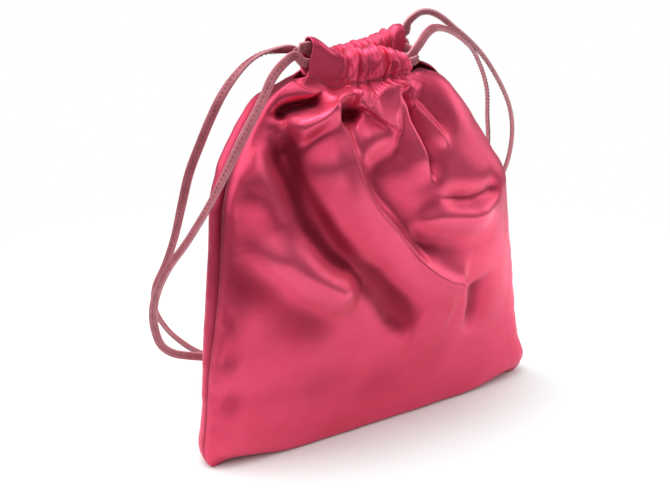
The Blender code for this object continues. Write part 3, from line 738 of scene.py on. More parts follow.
    def fold_offsets(self, base: Array, normal: Array) -> Array:
        """Sum of the folds' offsets from the smooth form.

        A fold's height at a point is its own height times exp(-(distance / flank width)^power),
        faded at both ends, and its lean shifts the crest sideways over the narrower flank.

        Args:
            base: points of the smooth form, (rows, columns, 3).
            normal: unit normals there.

        Returns:
            Offsets in metres, (rows, columns, 3).
        """
        total = np.zeros_like(base)
        flat = base[..., [0, 2]]
        for fold in self.folds:
            path = self.form.crest(self.panel, fold.points, self.crest_points)
            start, run = path[:-1], np.diff(path, axis=0)
            span = np.sum(run * run, axis=1)
            reach = self.fold_reach * max(fold.left, fold.right)
            low, high = path.min(0) - reach, path.max(0) + reach
            near = np.all((flat > low) & (flat < high), axis=-1)
            offset = flat[near][:, None, :] - start
            share = np.clip(np.sum(offset * run, axis=-1) / span, 0.0, 1.0)
            away = offset - share[..., None] * run
            distance = np.linalg.norm(away, axis=-1)
            nearest = np.argmin(distance, axis=-1)
            pick = np.arange(len(nearest)), nearest
            turn = run[nearest, 0] * away[pick][:, 1] - run[nearest, 1] * away[pick][:, 0]
            along = (nearest + share[pick]) / len(run)
            side = np.clip(turn / (np.sqrt(span[nearest]) * self.flank_blend), -1.0, 1.0)
            width = fold.right + (fold.left - fold.right) * ease(0.5 + 0.5 * side)
            fade = ease(along / fold.fade_in) * ease((1.0 - along) / fold.fade_out)
            shape = fade * np.exp(-(distance[pick] / width) ** fold.power)
            total[near] += normal[near] * (self.gain * fold.height * shape)[:, None]
            if fold.lean:
                level = np.zeros(len(nearest))
                sideways = np.stack([-run[nearest, 1], level, run[nearest, 0]], axis=-1)
                over = unit(sideways) * (1.0 if fold.left < fold.right else -1.0)
                total[near] += over * (fold.lean * shape ** 2)[:, None]
        return total

    def ripples(self, column: Array, up: Array) -> Array:
        """Small slack ripples of the cloth: a few sines of seeded length, direction and phase.

        Args:
            column: share along the cloth's width.
            up: share up the cloth.

        Returns:
            Metres out of the cloth, in the shape of column.
        """
        rng = self.seeded(Draw.RIPPLES)
        total = np.zeros_like(column)
        for length, size in self.ripple_sizes:
            for _ in range(3):
                angle = rng.uniform(0, math.pi)
                phase = rng.uniform(0, 2 * math.pi)
                along = math.cos(angle) * column + math.sin(angle) * 2.0 * up
                total += size * np.sin(2 * math.pi * along / length + phase)
        return total

    def seam_puckers(self, column: Array, up: Array) -> Array:
        """Short puckers that run in from the side seams and the base seam and die out.

        They are sines along the seam, times a bell curve of the distance from it.

        Args:
            column: share along the cloth's width.
            up: share up the cloth.

        Returns:
            Metres out of the cloth, in the shape of column.
        """
        rng = self.seeded(Draw.PUCKERS)
        inward = 1.0 - np.abs(column)
        total = np.zeros_like(column)
        for count, size in self.pucker_sizes:
            phase = rng.uniform(0, 2 * math.pi, 3)
            fade = bell(inward, *self.side_puckers) * ease((self.pucker_top - up) / self.pucker_fade)
            side = np.where(column < 0, phase[0], phase[1])
            total += size * fade * np.sin(2 * math.pi * count * up + side + 2.0 * inward)
            base_fade = bell(up, *self.base_puckers) * ease(inward / self.pucker_fade)
            total += 0.5 * size * base_fade * np.sin(math.pi * count * column + phase[2])
        return total

    def body(self, column: Array, up: Array) -> Array:
        """Outer face of the panel up to its stitch line, with folds, ripples and gathers.

        Folds, ripples and puckers stand along the smooth form's normals. At the seams the face
        turns in by a quarter circle, sqrt(1 - share^2), to half the gap between the panels.

        Args:
            column: share along the cloth's width.
            up: share up the cloth.

        Returns:
            Points, (rows, columns, 3).
        """
        form, side = self.form, self.panel.value
        base = form.surface(self.panel, column, up)
        normal = outward(base, side)
        inward = 1.0 - np.abs(form.across(column, up))
        clear = (ease(inward / self.seam_clear) * climb(up, self.base_clear, self.base_fade)
                 * ease((1.0 - up) / self.top_fade))
        points = base + clear[..., None] * self.fold_offsets(base, normal)
        ripples = (self.ripples(column, up) * ease(inward / self.ripple_clear)
                   * ease(up / self.ripple_clear))
        small = (ripples + self.seam_puckers(column, up)) * ease((1.0 - up) / self.small_fade)
        points += normal * small[..., None]
        fall = climb(up, self.fade_start, 1.0 - self.fade_start) ** self.fade_power
        gather = self.pleats(column) * self.pleat_depth(column) * self.tucked(column) * fall
        points[..., 1] += side * self.gather_share * gather
        from_seam = np.minimum(inward * form.half_width, up * form.stitch_height)
        share = 1.0 - np.clip(from_seam / (self.roll_reach * form.seam_roll), 0.0, 1.0)
        roll = form.seam_roll * np.sqrt(np.clip(1.0 - share * share, 0.0, 1.0))
        points[..., 1] += side * (form.touch_gap / 2 + roll)
        return points

    def casing(self, stitch: Array, column: Array) -> Array:
        """Turned-over casing, from the stitch line up, over and down to the hem's edge.

        Each wall eases from the stitch line out to its pleated width and up to the crown, which
        is a half circle from the outer wall to the inner one.

        Args:
            stitch: the body's last row, (columns, 3).
            column: its columns.

        Returns:
            Points, (rows, columns, 3).
        """
        form, side = self.form, self.panel.value
        tucked = self.tucked(column)
        depth = self.pleat_depth(column) * tucked
        top = self.pleats(column, 1.0)
        dip = self.dip * (1.0 - top) * tucked - self.crease_dip * self.creases(column, self.dip_rise)
        height = form.casing_height * curve(form.casing_shape[self.panel], column) - dip
        crown = form.casing_half_depth + self.crown_share * depth * top
        left, right = form.lean[self.panel]
        lean = form.casing_flare * np.abs(column) ** 3 * np.sign(column)
        lean = lean + left * ease(-column) + right * ease(column)
        centre = form.depth_shift + side * form.tunnel
        start = side * (stitch[:, 1] - centre)
        hem = start - 2.0 * form.cloth - form.hem_gap
        rows = []
        for share in np.linspace(0.0, self.wall_top, self.wall_rows)[1:]:
            fine = self.creases(column, share)
            swell = self.gather_share + (1.0 - self.gather_share) * float(ease(share))
            outer = form.casing_half_depth + swell * depth * self.pleats(column, share) + fine
            bow = self.wall_bow * math.sin(math.pi * share) * tucked
            out = start + (outer - start) * ease(share / self.wall_start) + bow
            rows.append((out, share * (height - crown), share))
        for angle in np.radians(np.linspace(0.0, 180.0, self.crown_rows)):
            spread = self.outer_share if math.cos(angle) > 0 else self.inner_share
            reach = form.casing_half_depth + spread * depth * top + self.creases(column, 1.0)
            rows.append((math.cos(angle) * reach, height - crown + crown * math.sin(angle), 1.0))
        for share in np.linspace(self.wall_top, 0.0, self.hem_rows):
            inner = form.casing_half_depth + self.inner_share * depth * self.pleats(column, share)
            back = hem + (-inner - self.creases(column, share) - hem) * ease(share / self.hem_start)
            rows.append((back, share * (height - crown), share))
        return np.array([np.stack([stitch[:, 0] + lean * share, centre + side * out, stitch[:, 2] + up],
                                  axis=-1) for out, up, share in rows])

    def grid(self) -> tuple[Array, Array]:
        """Outer face of the whole panel and the cloth's own coordinates on it.

        Returns:
            Points, (rows, columns, 3), and distances across and up the cloth, (rows, columns, 2).
        """
        columns = np.linspace(-1.0, 1.0, self.columns + 1)
        spread = np.linspace(0.0, 1.0, self.body_rows + 1)
        rows = spread * (1.0 - self.row_crowding * np.sin(math.pi * spread) ** 2 * (0.5 - spread))
        rows = np.sort(np.concatenate([rows, self.seam_rows]))
        lower = self.body(*np.meshgrid(columns, rows))
        points = np.concatenate([lower, self.casing(lower[-1], columns)])
        step = np.linalg.norm(np.diff(points, axis=0), axis=-1).mean(axis=1)
        run = np.concatenate([[0.0], np.cumsum(step)])
        across = columns * self.form.half_width
        cloth = np.stack(np.broadcast_arrays(across[None, :], run[:, None]), axis=-1)
        return points, cloth

    def relief(self, points: Array) -> Array:
        """How each point of the body lies to its neighbours, -1 deep in a hollow, 1 on a crest.

        The share is how far the point stands out from the moving average of its neighbours'
        depth, taken twice each way, divided by relief_depth. The casing has none.

        Args:
            points: the panel's grid, (rows, columns, 3).

        Returns:
            Shares, (rows, columns).
        """
        depth = self.panel.value * points[..., 1]
        level = depth
        for axis in (0, 0, 1, 1):
            level = moving_average(level, self.relief_reach, axis)
        share = np.clip((depth - level) / self.relief_depth, -1.0, 1.0)
        share[self.stitch_row + 1:] = 0.0
        return share

    @property
    def stitch_row(self) -> int:
        """The grid's row on the stitch line."""
        return self.body_rows + len(self.seam_rows)

    def build(self) -> Piece:
        """Makes the panel: its outer face on the grid, thickened inwards by the cloth.

        Returns:
            The piece.
        """
        points, cloth = self.grid()
        faces = grid_faces(*points.shape[:2])
        if self.panel is Panel.BACK:
            faces = faces[:, ::-1]
        piece = put_mesh(f"{self.panel.name.lower()}_satin", points, faces, cloth)
        # The relief is the mask for the satin's painted shade in hollows and painted highlight on crests
        put_values(piece, "relief", self.relief(points))
        wall = piece.modifiers.new("cloth", "SOLIDIFY")
        wall.thickness = self.form.cloth
        wall.offset = -1.0
        return piece

    def dress(self, piece: Piece, finish: "SatinFinish") -> None:
        """Gives the panel its satin, puts it under the root body and hides the CAD panel.

        Args:
            piece: what build() made.
            finish: its satin.
        """
        piece.data.materials.append(finish.material())
        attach(piece, ROOT)
        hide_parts(f"{self.panel.name.lower()}_panel")


# Routes of the two free loops, each from the back casing round to the front casing
LEFT_LOOP = (
    (-0.047, 0.009, 0.2228), (-0.056, 0.0094, 0.2238), (-0.065, 0.0103, 0.223),
    (-0.0722, 0.0118, 0.2194), (-0.0793, 0.0138, 0.2125), (-0.0857, 0.0166, 0.2027),
    (-0.0911, 0.0205, 0.1892), (-0.0951, 0.025, 0.1751), (-0.0987, 0.0305, 0.159),
    (-0.1003, 0.037, 0.139), (-0.101, 0.045, 0.118), (-0.1015, 0.0555, 0.0985), (-0.103, 0.065, 0.082),
    (-0.099, 0.074, 0.0655), (-0.088, 0.082, 0.048), (-0.075, 0.0887, 0.0336), (-0.06, 0.095, 0.0205),
    (-0.044, 0.1005, 0.011), (-0.029, 0.1043, 0.005), (-0.015, 0.106, 0.003), (-0.004, 0.106, 0.003),
    (0.0055, 0.1018, 0.003), (0.0094, 0.0925, 0.003), (0.0055, 0.0832, 0.003), (-0.004, 0.0793, 0.0032),
    (-0.015, 0.0788, 0.0045), (-0.027, 0.0802, 0.0083), (-0.042, 0.0828, 0.014),
    (-0.059, 0.084, 0.0205), (-0.074, 0.0815, 0.0265), (-0.088, 0.0745, 0.0345),
    (-0.1007, 0.0655, 0.0465), (-0.1109, 0.054, 0.0654), (-0.1172, 0.0415, 0.0834),
    (-0.1197, 0.0295, 0.0995), (-0.1195, 0.017, 0.1155), (-0.1168, 0.006, 0.1295),
    (-0.1126, -0.003, 0.1445), (-0.1078, -0.0085, 0.1575), (-0.1027, -0.0125, 0.1703),
    (-0.0968, -0.0145, 0.1825), (-0.0905, -0.0148, 0.1926), (-0.0838, -0.0145, 0.2018),
    (-0.0786, -0.0137, 0.2092), (-0.0735, -0.0127, 0.2165), (-0.0658, -0.0115, 0.2226),
    (-0.057, -0.0096, 0.225),
)
RIGHT_LOOP = (
    (0.029, 0.0092, 0.2258), (0.0335, 0.0098, 0.2288), (0.039, 0.0102, 0.2306), (0.046, 0.0107, 0.2298),
    (0.0541, 0.0115, 0.2258), (0.0637, 0.0125, 0.2186), (0.0739, 0.014, 0.2112),
    (0.0848, 0.016, 0.2022), (0.094, 0.018, 0.1932), (0.1024, 0.02, 0.1834), (0.1111, 0.022, 0.1716),
    (0.1185, 0.0245, 0.1595), (0.1236, 0.0275, 0.147), (0.1266, 0.031, 0.135), (0.1282, 0.0355, 0.122),
    (0.128, 0.041, 0.109), (0.125, 0.049, 0.092), (0.119, 0.059, 0.072), (0.11, 0.069, 0.052),
    (0.099, 0.079, 0.033), (0.086, 0.088, 0.0165), (0.0715, 0.0955, 0.006), (0.06, 0.0988, 0.0035),
    (0.049, 0.0994, 0.003), (0.0392, 0.0956, 0.003), (0.0352, 0.0863, 0.003), (0.0392, 0.077, 0.003),
    (0.049, 0.073, 0.0036), (0.06, 0.0719, 0.0068), (0.07, 0.07, 0.0135), (0.081, 0.066, 0.024),
    (0.092, 0.06, 0.039), (0.101, 0.053, 0.059), (0.1075, 0.046, 0.08), (0.1107, 0.04, 0.102),
    (0.1108, 0.0355, 0.122), (0.1085, 0.0315, 0.14), (0.1035, 0.027, 0.156), (0.098, 0.0215, 0.1735),
    (0.092, 0.018, 0.185), (0.0855, 0.015, 0.1945), (0.078, 0.0115, 0.2033), (0.069, 0.008, 0.2105),
    (0.059, 0.0058, 0.2172), (0.05, 0.004, 0.2214), (0.0415, 0.0015, 0.2232), (0.0335, -0.002, 0.2218),
    (0.026, -0.0056, 0.2178), (0.02, -0.0076, 0.2142),
)
# Which way the wide face of the strap looks, by share of the free loop
LEFT_FACING = (
    (0.0, (0.0, 1.0, 0.1)), (0.03, (-0.2, 0.2, 1.0)), (0.06, (-0.5, -0.4, 0.8)),
    (0.09, (-0.6, -0.8, 0.4)), (0.14, (-0.6, -0.8, 0.2)), (0.19, (-0.9, -0.2, 0.1)),
    (0.26, (-1.0, -0.1, 0.0)), (0.4, (-0.5, -0.7, -0.4)), (0.46, (0.0, 1.0, 0.0)),
    (0.5, (1.0, 0.0, 0.0)), (0.54, (0.0, -1.0, 0.0)), (0.66, (-0.6, -0.75, 0.3)),
    (0.74, (-0.6, -0.75, 0.3)), (0.79, (-0.95, 0.05, 0.2)), (0.88, (-0.95, 0.05, 0.2)),
    (0.92, (-0.6, -0.6, 0.5)), (0.96, (-0.3, -0.4, 0.9)), (1.0, (0.0, -1.0, 0.2)),
)
RIGHT_FACING = (
    (0.0, (0.0, 1.0, 0.1)), (0.04, (0.1, 0.3, 1.0)), (0.12, (0.5, -0.2, 0.8)), (0.24, (0.8, -0.6, 0.2)),
    (0.36, (0.6, -0.8, 0.0)), (0.44, (0.3, 0.9, 0.2)), (0.5, (-1.0, 0.0, 0.0)),
    (0.56, (0.0, -1.0, 0.1)), (0.66, (0.7, -0.6, 0.2)), (0.78, (0.5, -0.9, 0.2)),
    (0.9, (0.3, -0.5, 0.8)), (0.96, (0.2, -0.5, 0.8)), (1.0, (0.0, -1.0, 0.2)),
)


@dataclass
class Drawcord:
    """A flat leather drawcord: its strap and the stitches along the strap's two wide faces.

    Attributes:
        form: the pouch's sizes.
        end: the side its free loop hangs on, -1 left or 1 right.
        loop: the free loop's points.
        facing: which way its wide face looks, by share of the free loop.
        level: height above the stitch line and how much higher it lies at the mouth's left end.
        squareness: power of its cross-section.
        join: column of the back casing where its home end lies.
        bridge_back: how far the turn at the mouth's far end starts inside the casing's end.
        right_sag: how much lower it lies at the front casing's right end.
        left_sag: how much lower it lies at the back casing's left end.
        rise_span: column, outward, where the left end's rise starts, and its width; right_span
            and left_span are those of the sags.
        set_back: how far it lies behind the casing's middle.
        sunk: part of the thread's radius that lies in the leather.
        smoothing: rings over which the wide face's way is smoothed.
    """

    form: PouchForm
    end: int
    loop: tuple[tuple[float, float, float], ...]
    facing: tuple[tuple[float, tuple[float, float, float]], ...]
    level: Pair
    width: float = 0.0050
    thickness: float = 0.0021
    squareness: float = 3.2
    join: float = 0.45
    join_gap: float = 0.05
    bridge_back: float = 0.0095
    bridge_reach: float = 0.0062
    right_sag: float = 0.0010
    left_sag: float = 0.0
    rise_span: Pair = (0.4, 0.5)
    right_span: Pair = (0.3, 0.7)
    left_span: Pair = (-0.4, 0.6)
    set_back: float = -0.0013
    exit_points: int = 5
    through_points: int = 13
    bridge_points: int = 7
    home_points: int = 10
    ring_step: float = 0.0014
    stitch_step: float = 0.0026
    stitch_length: float = 0.0018
    thread: float = 0.00022
    sunk: float = 0.2
    smoothing: int = 13

    @property
    def name(self) -> str:
        """The CAD node's name."""
        return "left_drawcord" if self.end < 0 else "right_drawcord"

    def casing_run(self, panel: Panel, columns: Array) -> Array:
        """Middle of the cord's way through a casing.

        Args:
            panel: whose casing.
            columns: shares along the cloth's width.

        Returns:
            Points, (len(columns), 3).
        """
        columns = np.asarray(columns, float)
        stitch = self.form.surface(panel, columns, np.ones_like(columns))
        height, left_rise = self.level
        x = stitch[:, 0] + 0.5 * self.form.casing_flare * columns ** 3
        y = np.full_like(x, self.form.depth_shift + panel.value * self.form.tunnel + self.set_back)
        z = stitch[:, 2] + height + left_rise * climb(-columns, *self.rise_span)
        if panel is Panel.FRONT:
            z -= self.right_sag * climb(columns, *self.right_span)
        else:
            z -= self.left_sag * climb(-columns, *self.left_span)
        return np.stack([x, y, z], axis=-1)

    def bridge(self) -> Array:
        """Way round the far end of the mouth, from the back casing to the front casing.

        A half oval round the end of the casing that reaches further out.

        Returns:
            Points, (bridge_points, 3).
        """
        far, tunnel = -self.end, self.form.tunnel
        back = self.casing_run(Panel.BACK, [far])[0]
        front = self.casing_run(Panel.FRONT, [far])[0]
        centre = far * max(far * back[0], far * front[0])
        angle = np.radians(np.linspace(90.0, -90.0, self.bridge_points))
        share = (1.0 - np.sin(angle)) / 2
        x = centre + far * (self.bridge_reach * np.cos(angle) - self.bridge_back)
        height = back[2] * (1.0 - share) + front[2] * share
        return np.stack([x, self.form.depth_shift + tunnel * np.sin(angle), height], axis=-1)

    def route(self) -> tuple[Array, Array]:
        """The whole strap: out of the back casing, round the loop, through the front and home.

        Returns:
            Its middle line, (rings, 3), and the way its wide face looks at each ring.
        """
        out = np.linspace(self.join + self.join_gap, 1.0, self.exit_points) * self.end
        through = np.linspace(1.0, -1.0, self.through_points) * self.end
        home = np.linspace(-1.0, self.join, self.home_points) * self.end
        loop, bridge = np.array(self.loop), self.bridge()[::-1]
        points = np.concatenate([self.casing_run(Panel.BACK, out), loop,
                                 self.casing_run(Panel.FRONT, through), bridge,
                                 self.casing_run(Panel.BACK, home)])
        shares, ways = zip(*self.facing)
        run = arc_length(loop)
        back = np.array([[0.0, 1.0, 0.0]])
        turn = bridge - bridge.mean(axis=0)
        turn[:, 2] = 0.0
        loop_ways = read_along(run / run[-1], shares, np.array(ways))
        ways = np.concatenate([np.repeat(back, len(out), 0), loop_ways,
                               np.repeat(-back, len(through), 0), unit(turn),
                               np.repeat(back, len(home), 0)])
        keys = arc_length(points)
        count = round(keys[-1] / self.ring_step)
        fine = read_along(np.linspace(0.0, 1.0, count), keys / keys[-1], ways)
        kernel = np.hanning(self.smoothing) / np.hanning(self.smoothing).sum()
        half = self.smoothing // 2
        padded = np.pad(fine, ((half, half), (0, 0)), mode="edge")
        fine = np.stack([np.convolve(padded[:, k], kernel, mode="valid") for k in range(3)], axis=-1)
        return smooth_line(points, count), fine

    def section(self, sides: int = 20) -> Array:
        """Cross-section of the strap: a rounded oblong, |x/a|^3.2 + |z/b|^3.2 = 1.

        Args:
            sides: its corners.

        Returns:
            Distances across the strap and out of its wide face, (sides, 2).
        """
        angle = np.linspace(0.0, 2.0 * math.pi, sides, endpoint=False)
        circle = np.stack([np.cos(angle), np.sin(angle)], axis=-1)
        oblong = np.sign(circle) * np.abs(circle) ** (2 / self.squareness)
        return oblong * (self.width / 2, self.thickness / 2)

    def frames(self) -> tuple[Array, Array, Array]:
        """Middle line, unit way out of the wide face and unit way across it.

        Returns:
            Three arrays, each (rings, 3).
        """
        line, ways = self.route()
        along = unit(np.gradient(line, axis=0))
        out = unit(ways - np.sum(ways * along, axis=1, keepdims=True) * along)
        return line, out, np.cross(along, out)

    def build(self) -> list[Piece]:
        """Makes the strap, its section carried along the middle line, and its stitches.

        Returns:
            The strap and the stitches.
        """
        line, out, across = self.frames()
        section = self.section()
        points = (line[:, None] + section[None, :, :1] * across[:, None]
                  + section[None, :, 1:] * out[:, None])
        run = arc_length(line)
        rings, sides = points.shape[:2]
        around = np.linspace(0.0, 1.0, sides, endpoint=False)
        uv = np.stack(np.broadcast_arrays(run[:, None], around[None, :]), axis=-1)
        caps = [list(range(sides)), list(range((rings - 1) * sides, rings * sides))[::-1]]
        faces = grid_faces(rings, sides, wrap=True)[:, ::-1]
        strap = put_mesh(f"{self.name}_strap", points, faces, uv, caps)
        # Share out to the strap's edge, the mask for the leather's painted edge highlight
        put_values(strap, "edge", np.tile(np.abs(section[:, 0]) / (self.width / 2), rings))
        first = (np.arange(int(run[-1] / self.stitch_step) - 1) + 0.5) * self.stitch_step
        holes = (first, first + self.stitch_length)
        outs = [unit(read_along(at, run, out)) for at in holes]
        surface = self.thickness / 2 - self.sunk * self.thread
        starts, ends = (np.concatenate([read_along(at, run, line) + face * way * surface
                                        for face in (-1.0, 1.0)]) for at, way in zip(holes, outs))
        lifts = np.concatenate([face * outs[0] * self.thread for face in (-1.0, 1.0)])
        points, faces, caps = capsules(starts, ends, lifts, self.thread, rings=4, sides=6)
        return [strap, put_mesh(f"{self.name}_stitches", points, faces, caps=caps)]

    def dress(self, pieces: list[Piece], leather: "LeatherFinish", thread: "ThreadFinish") -> None:
        """Args:
            pieces: the strap and the stitches, as build() gives them.
            leather: the strap's finish.
            thread: the stitches' finish.
        """
        strap, stitches = pieces
        strap.data.materials.append(leather.material())
        stitches.data.materials.append(thread.material())
        for piece, slot in ((strap, "leather"), (stitches, "thread")):
            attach(piece, ROOT)
        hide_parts(self.name)
        line, _ = self.route()
        exit_point = self.casing_run(Panel.BACK, [self.end])[0]


@dataclass
class StitchRow:
    """A row of stitches on a panel, over the CAD thread that it stands for.

    Attributes:
        name: the piece's name.
        node: the CAD thread's name.
        line: the row's line, (n, 3).
        out: unit way out of the cloth at each of its points.
        bow: how far a stitch bows out, in radii of the thread.
        lead: place of the first stitch, in steps.
    """

    name: str
    node: str
    line: Array
    out: Array
    step: float = 0.0030
    length: float = 0.0022
    thread: float = 0.00026
    bow: float = 0.6
    lead: float = 0.2

    def build(self) -> Piece:
        """Makes the row: one bowed stitch after another along the line, each into two holes.

        Returns:
            The piece.
        """
        run = arc_length(self.line)
        count = max(2, int(run[-1] / self.step))
        first = (np.arange(count) + self.lead) * run[-1] / count
        starts, ends = (read_along(at, run, self.line) for at in (first, first + self.length))
        lift = unit(read_along(first + self.length / 2, run, self.out))
        points, faces, caps = capsules(starts, ends, lift * self.bow * self.thread, self.thread)
        return put_mesh(self.name, points, faces, caps=caps)

    def dress(self, piece: Piece, finish: "ThreadFinish") -> None:
        """Gives the stitches their thread, puts them under the root body and hides the CAD thread they
        stand for.

        Args:
            piece: what build() made.
            finish: the thread.
        """
        piece.data.materials.append(finish.material())
        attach(piece, ROOT)
        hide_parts(self.node)


class Nodes:
    """A material's or a world's node tree, with short ways to add and join nodes."""

    def __init__(self, owner: bpy.types.Material | bpy.types.World) -> None:
        """Opens the owner's node tree.

        Args:
            owner: a material, with its Principled shader, or a world.
        """
        owner.use_nodes = True
        self.owner = owner
        self.tree = owner.node_tree

    def add(self, kind: str, inputs: dict | None = None, **settings: object) -> bpy.types.Node:
        """Adds a node.

        Args:
            kind: the node's type.
            inputs: a value or a socket for each input, by name or number.
            settings: the node's properties.

        Returns:
            The node.
        """
        node = self.tree.nodes.new(kind)
        for key, value in settings.items():
            setattr(node, key, value)
        for key, value in (inputs or {}).items():
            self.put(node, key, value)
        return node

    def put(self, node: bpy.types.Node, key: str | int, value: object) -> None:
        """Gives a node's input a value, or links a socket to it.

        Args:
            node: the node.
            key: the input's name or number.
            value: a value or a socket.
        """
        if isinstance(value, Socket):
            self.tree.links.new(value, node.inputs[key])
        else:
            node.inputs[key].default_value = value

    def shade(self, **inputs: object) -> None:
        """Sets inputs of the Principled shader, named with underscores for spaces."""
        for key, value in inputs.items():
            self.put(self.tree.nodes["Principled BSDF"], key.replace("_", " "), value)

    def place(self, output: str) -> Socket:
        """A place: Object or UV on a piece, or Generated for a ray in the world."""
        return self.add("ShaderNodeTexCoord").outputs[output]

    def attribute(self, name: str) -> Socket:
        """A number that the mesh holds for each point."""
        return self.add("ShaderNodeAttribute", attribute_name=name).outputs["Fac"]

    def noise(self, vector: Socket, scale: float, detail: float = 3.0) -> Socket:
        """Noise between 0 and 1 on a vector."""
        inputs = {"Vector": vector, "Scale": scale, "Detail": detail, "Roughness": 0.55}
        return self.add("ShaderNodeTexNoise", inputs).outputs["Fac"]

    def ramp(self, value: Socket, low: float, high: float, to_low: float, to_high: float) -> Socket:
        """Maps a value from one range to another, smoothly and clamped.

        Args:
            value: the value.
            low: start of its range.
            high: end of its range.
            to_low: what low becomes.
            to_high: what high becomes.

        Returns:
            The mapped value.
        """
        inputs = {"Value": value, "From Min": low, "From Max": high, "To Min": to_low, "To Max": to_high}
        return self.add("ShaderNodeMapRange", inputs, interpolation_type="SMOOTHSTEP").outputs["Result"]

    def spread(self, noise: Socket, middle: float, change: float) -> Socket:
        """A value that a noise moves up and down from its middle by a change."""
        return self.ramp(noise, *NOISE_RANGE, middle - change, middle + change)

    def mix(self, share: Socket, a: Socket | Colour, b: Socket | Colour) -> Socket:
        """Mixes two colours by a share."""
        first, second = ((*colour, 1.0) if isinstance(colour, tuple) else colour for colour in (a, b))
        return self.add("ShaderNodeMix", {0: share, 6: first, 7: second}, data_type="RGBA").outputs[2]

    def bump(self, height: Socket, strength: float, distance: float,
             normal: Socket | None = None) -> Socket:
        """Normals bent by a height.

        Args:
            height: the height, 0 to 1.
            strength: share of the bend.
            distance: metres that a height of 1 stands for.
            normal: normals that are bent already.

        Returns:
            The normals.
        """
        inputs = {"Height": height, "Strength": strength, "Distance": distance}
        if normal:
            inputs["Normal"] = normal
        return self.add("ShaderNodeBump", inputs).outputs["Normal"]


@dataclass(frozen=True)
class Finish:
    """A finish, whose material is made once under its name and shared by its pieces."""

    name: str = "plain"

    def material(self) -> bpy.types.Material:
        """The finish's material.

        Returns:
            The material of the finish's name, which the first call makes.
        """
        found = bpy.data.materials.get(self.name)
        if not found:
            found = bpy.data.materials.new(self.name)
            self.paint(Nodes(found))
        return found

    def paint(self, nodes: Nodes) -> None:
        """Adds the finish's nodes to its new material."""


@dataclass(frozen=True)
class SatinFinish(Finish):
    """Crimson satin: a soft tinted gloss, a fine weave, slight changes of tone and painted shade and
    highlight on its folds.

    Attributes:
        colour: the cloth's colour, and deep what it drifts to.
        hollow: painted shade, a darker colour laid into the hollows of the folds by the panel's relief.
        crest: painted highlight, a lighter colour that a crest's colour turns towards, by the crest
            share.
        weave: threads for a metre, in the noise's scale.
    """

    name: str = "satin_weave"
    colour: Colour = (0.74, 0.070, 0.150)
    deep: Colour = (0.69, 0.058, 0.128)
    # Painted shade: darker colour mixed into the hollows of the folds
    hollow: Colour = (0.30, 0.012, 0.038)
    hollow_shade_range: Pair = (-1.0, -0.08)
    # Painted highlight: lighter colour mixed onto the crests of the folds
    crest: Colour = (0.88, 0.125, 0.225)
    crest_highlight_range: Pair = (0.15, 1.0)
    crest_highlight_share: float = 0.35
    roughness: float = 0.37
    metallic: float = 0.64
    specular_tint: Colour = (1.0, 0.68, 0.78)
    sheen: float = 0.16
    sheen_roughness: float = 0.4
    sheen_tint: Colour = (1.0, 0.45, 0.58)
    tone_scale: float = 38.0
    tone_range: Pair = (0.35, 0.65)
    gloss_change: float = 0.04
    weave: float = 2600.0
    weave_bump: Pair = (0.16, 0.0002)
    slub_scale: float = 420.0
    slub_bump: Pair = (0.05, 0.0006)
    stretch: tuple[float, float, float] = (0.35, 1.0, 1.0)

    def paint(self, nodes: Nodes) -> None:
        """Adds the satin's nodes: tone by noise, painted shade in hollows and painted highlight on
        crests by relief, weave and slubs as bumps.

        Args:
            nodes: the new material's nodes.
        """
        patches = nodes.noise(nodes.place("Object"), self.tone_scale)
        drift = nodes.ramp(patches, *self.tone_range, 0.0, 1.0)
        relief = nodes.attribute("relief")
        # Painted shade in the folds' hollows, from the negative side of the relief
        tone = nodes.mix(nodes.ramp(relief, *self.hollow_shade_range, 1.0, 0.0),
                         nodes.mix(drift, self.deep, self.colour), self.hollow)
        # Painted highlight on the folds' crests, from the positive side of the relief
        tone = nodes.mix(nodes.ramp(relief, *self.crest_highlight_range, 0.0, self.crest_highlight_share), tone, self.crest)
        cloth = nodes.add("ShaderNodeMapping", {"Vector": nodes.place("UV"), "Scale": self.stretch})
        threads = nodes.noise(cloth.outputs["Vector"], self.weave, 2.0)
        slubs = nodes.noise(cloth.outputs["Vector"], self.slub_scale)
        nodes.shade(
            Base_Color=tone,
            Roughness=nodes.spread(slubs, self.roughness, self.gloss_change),
            Normal=nodes.bump(slubs, *self.slub_bump, nodes.bump(threads, *self.weave_bump)),
            Metallic=self.metallic, Sheen_Weight=self.sheen, Sheen_Roughness=self.sheen_roughness,
            Sheen_Tint=(*self.sheen_tint, 1.0), Specular_Tint=(*self.specular_tint, 1.0))


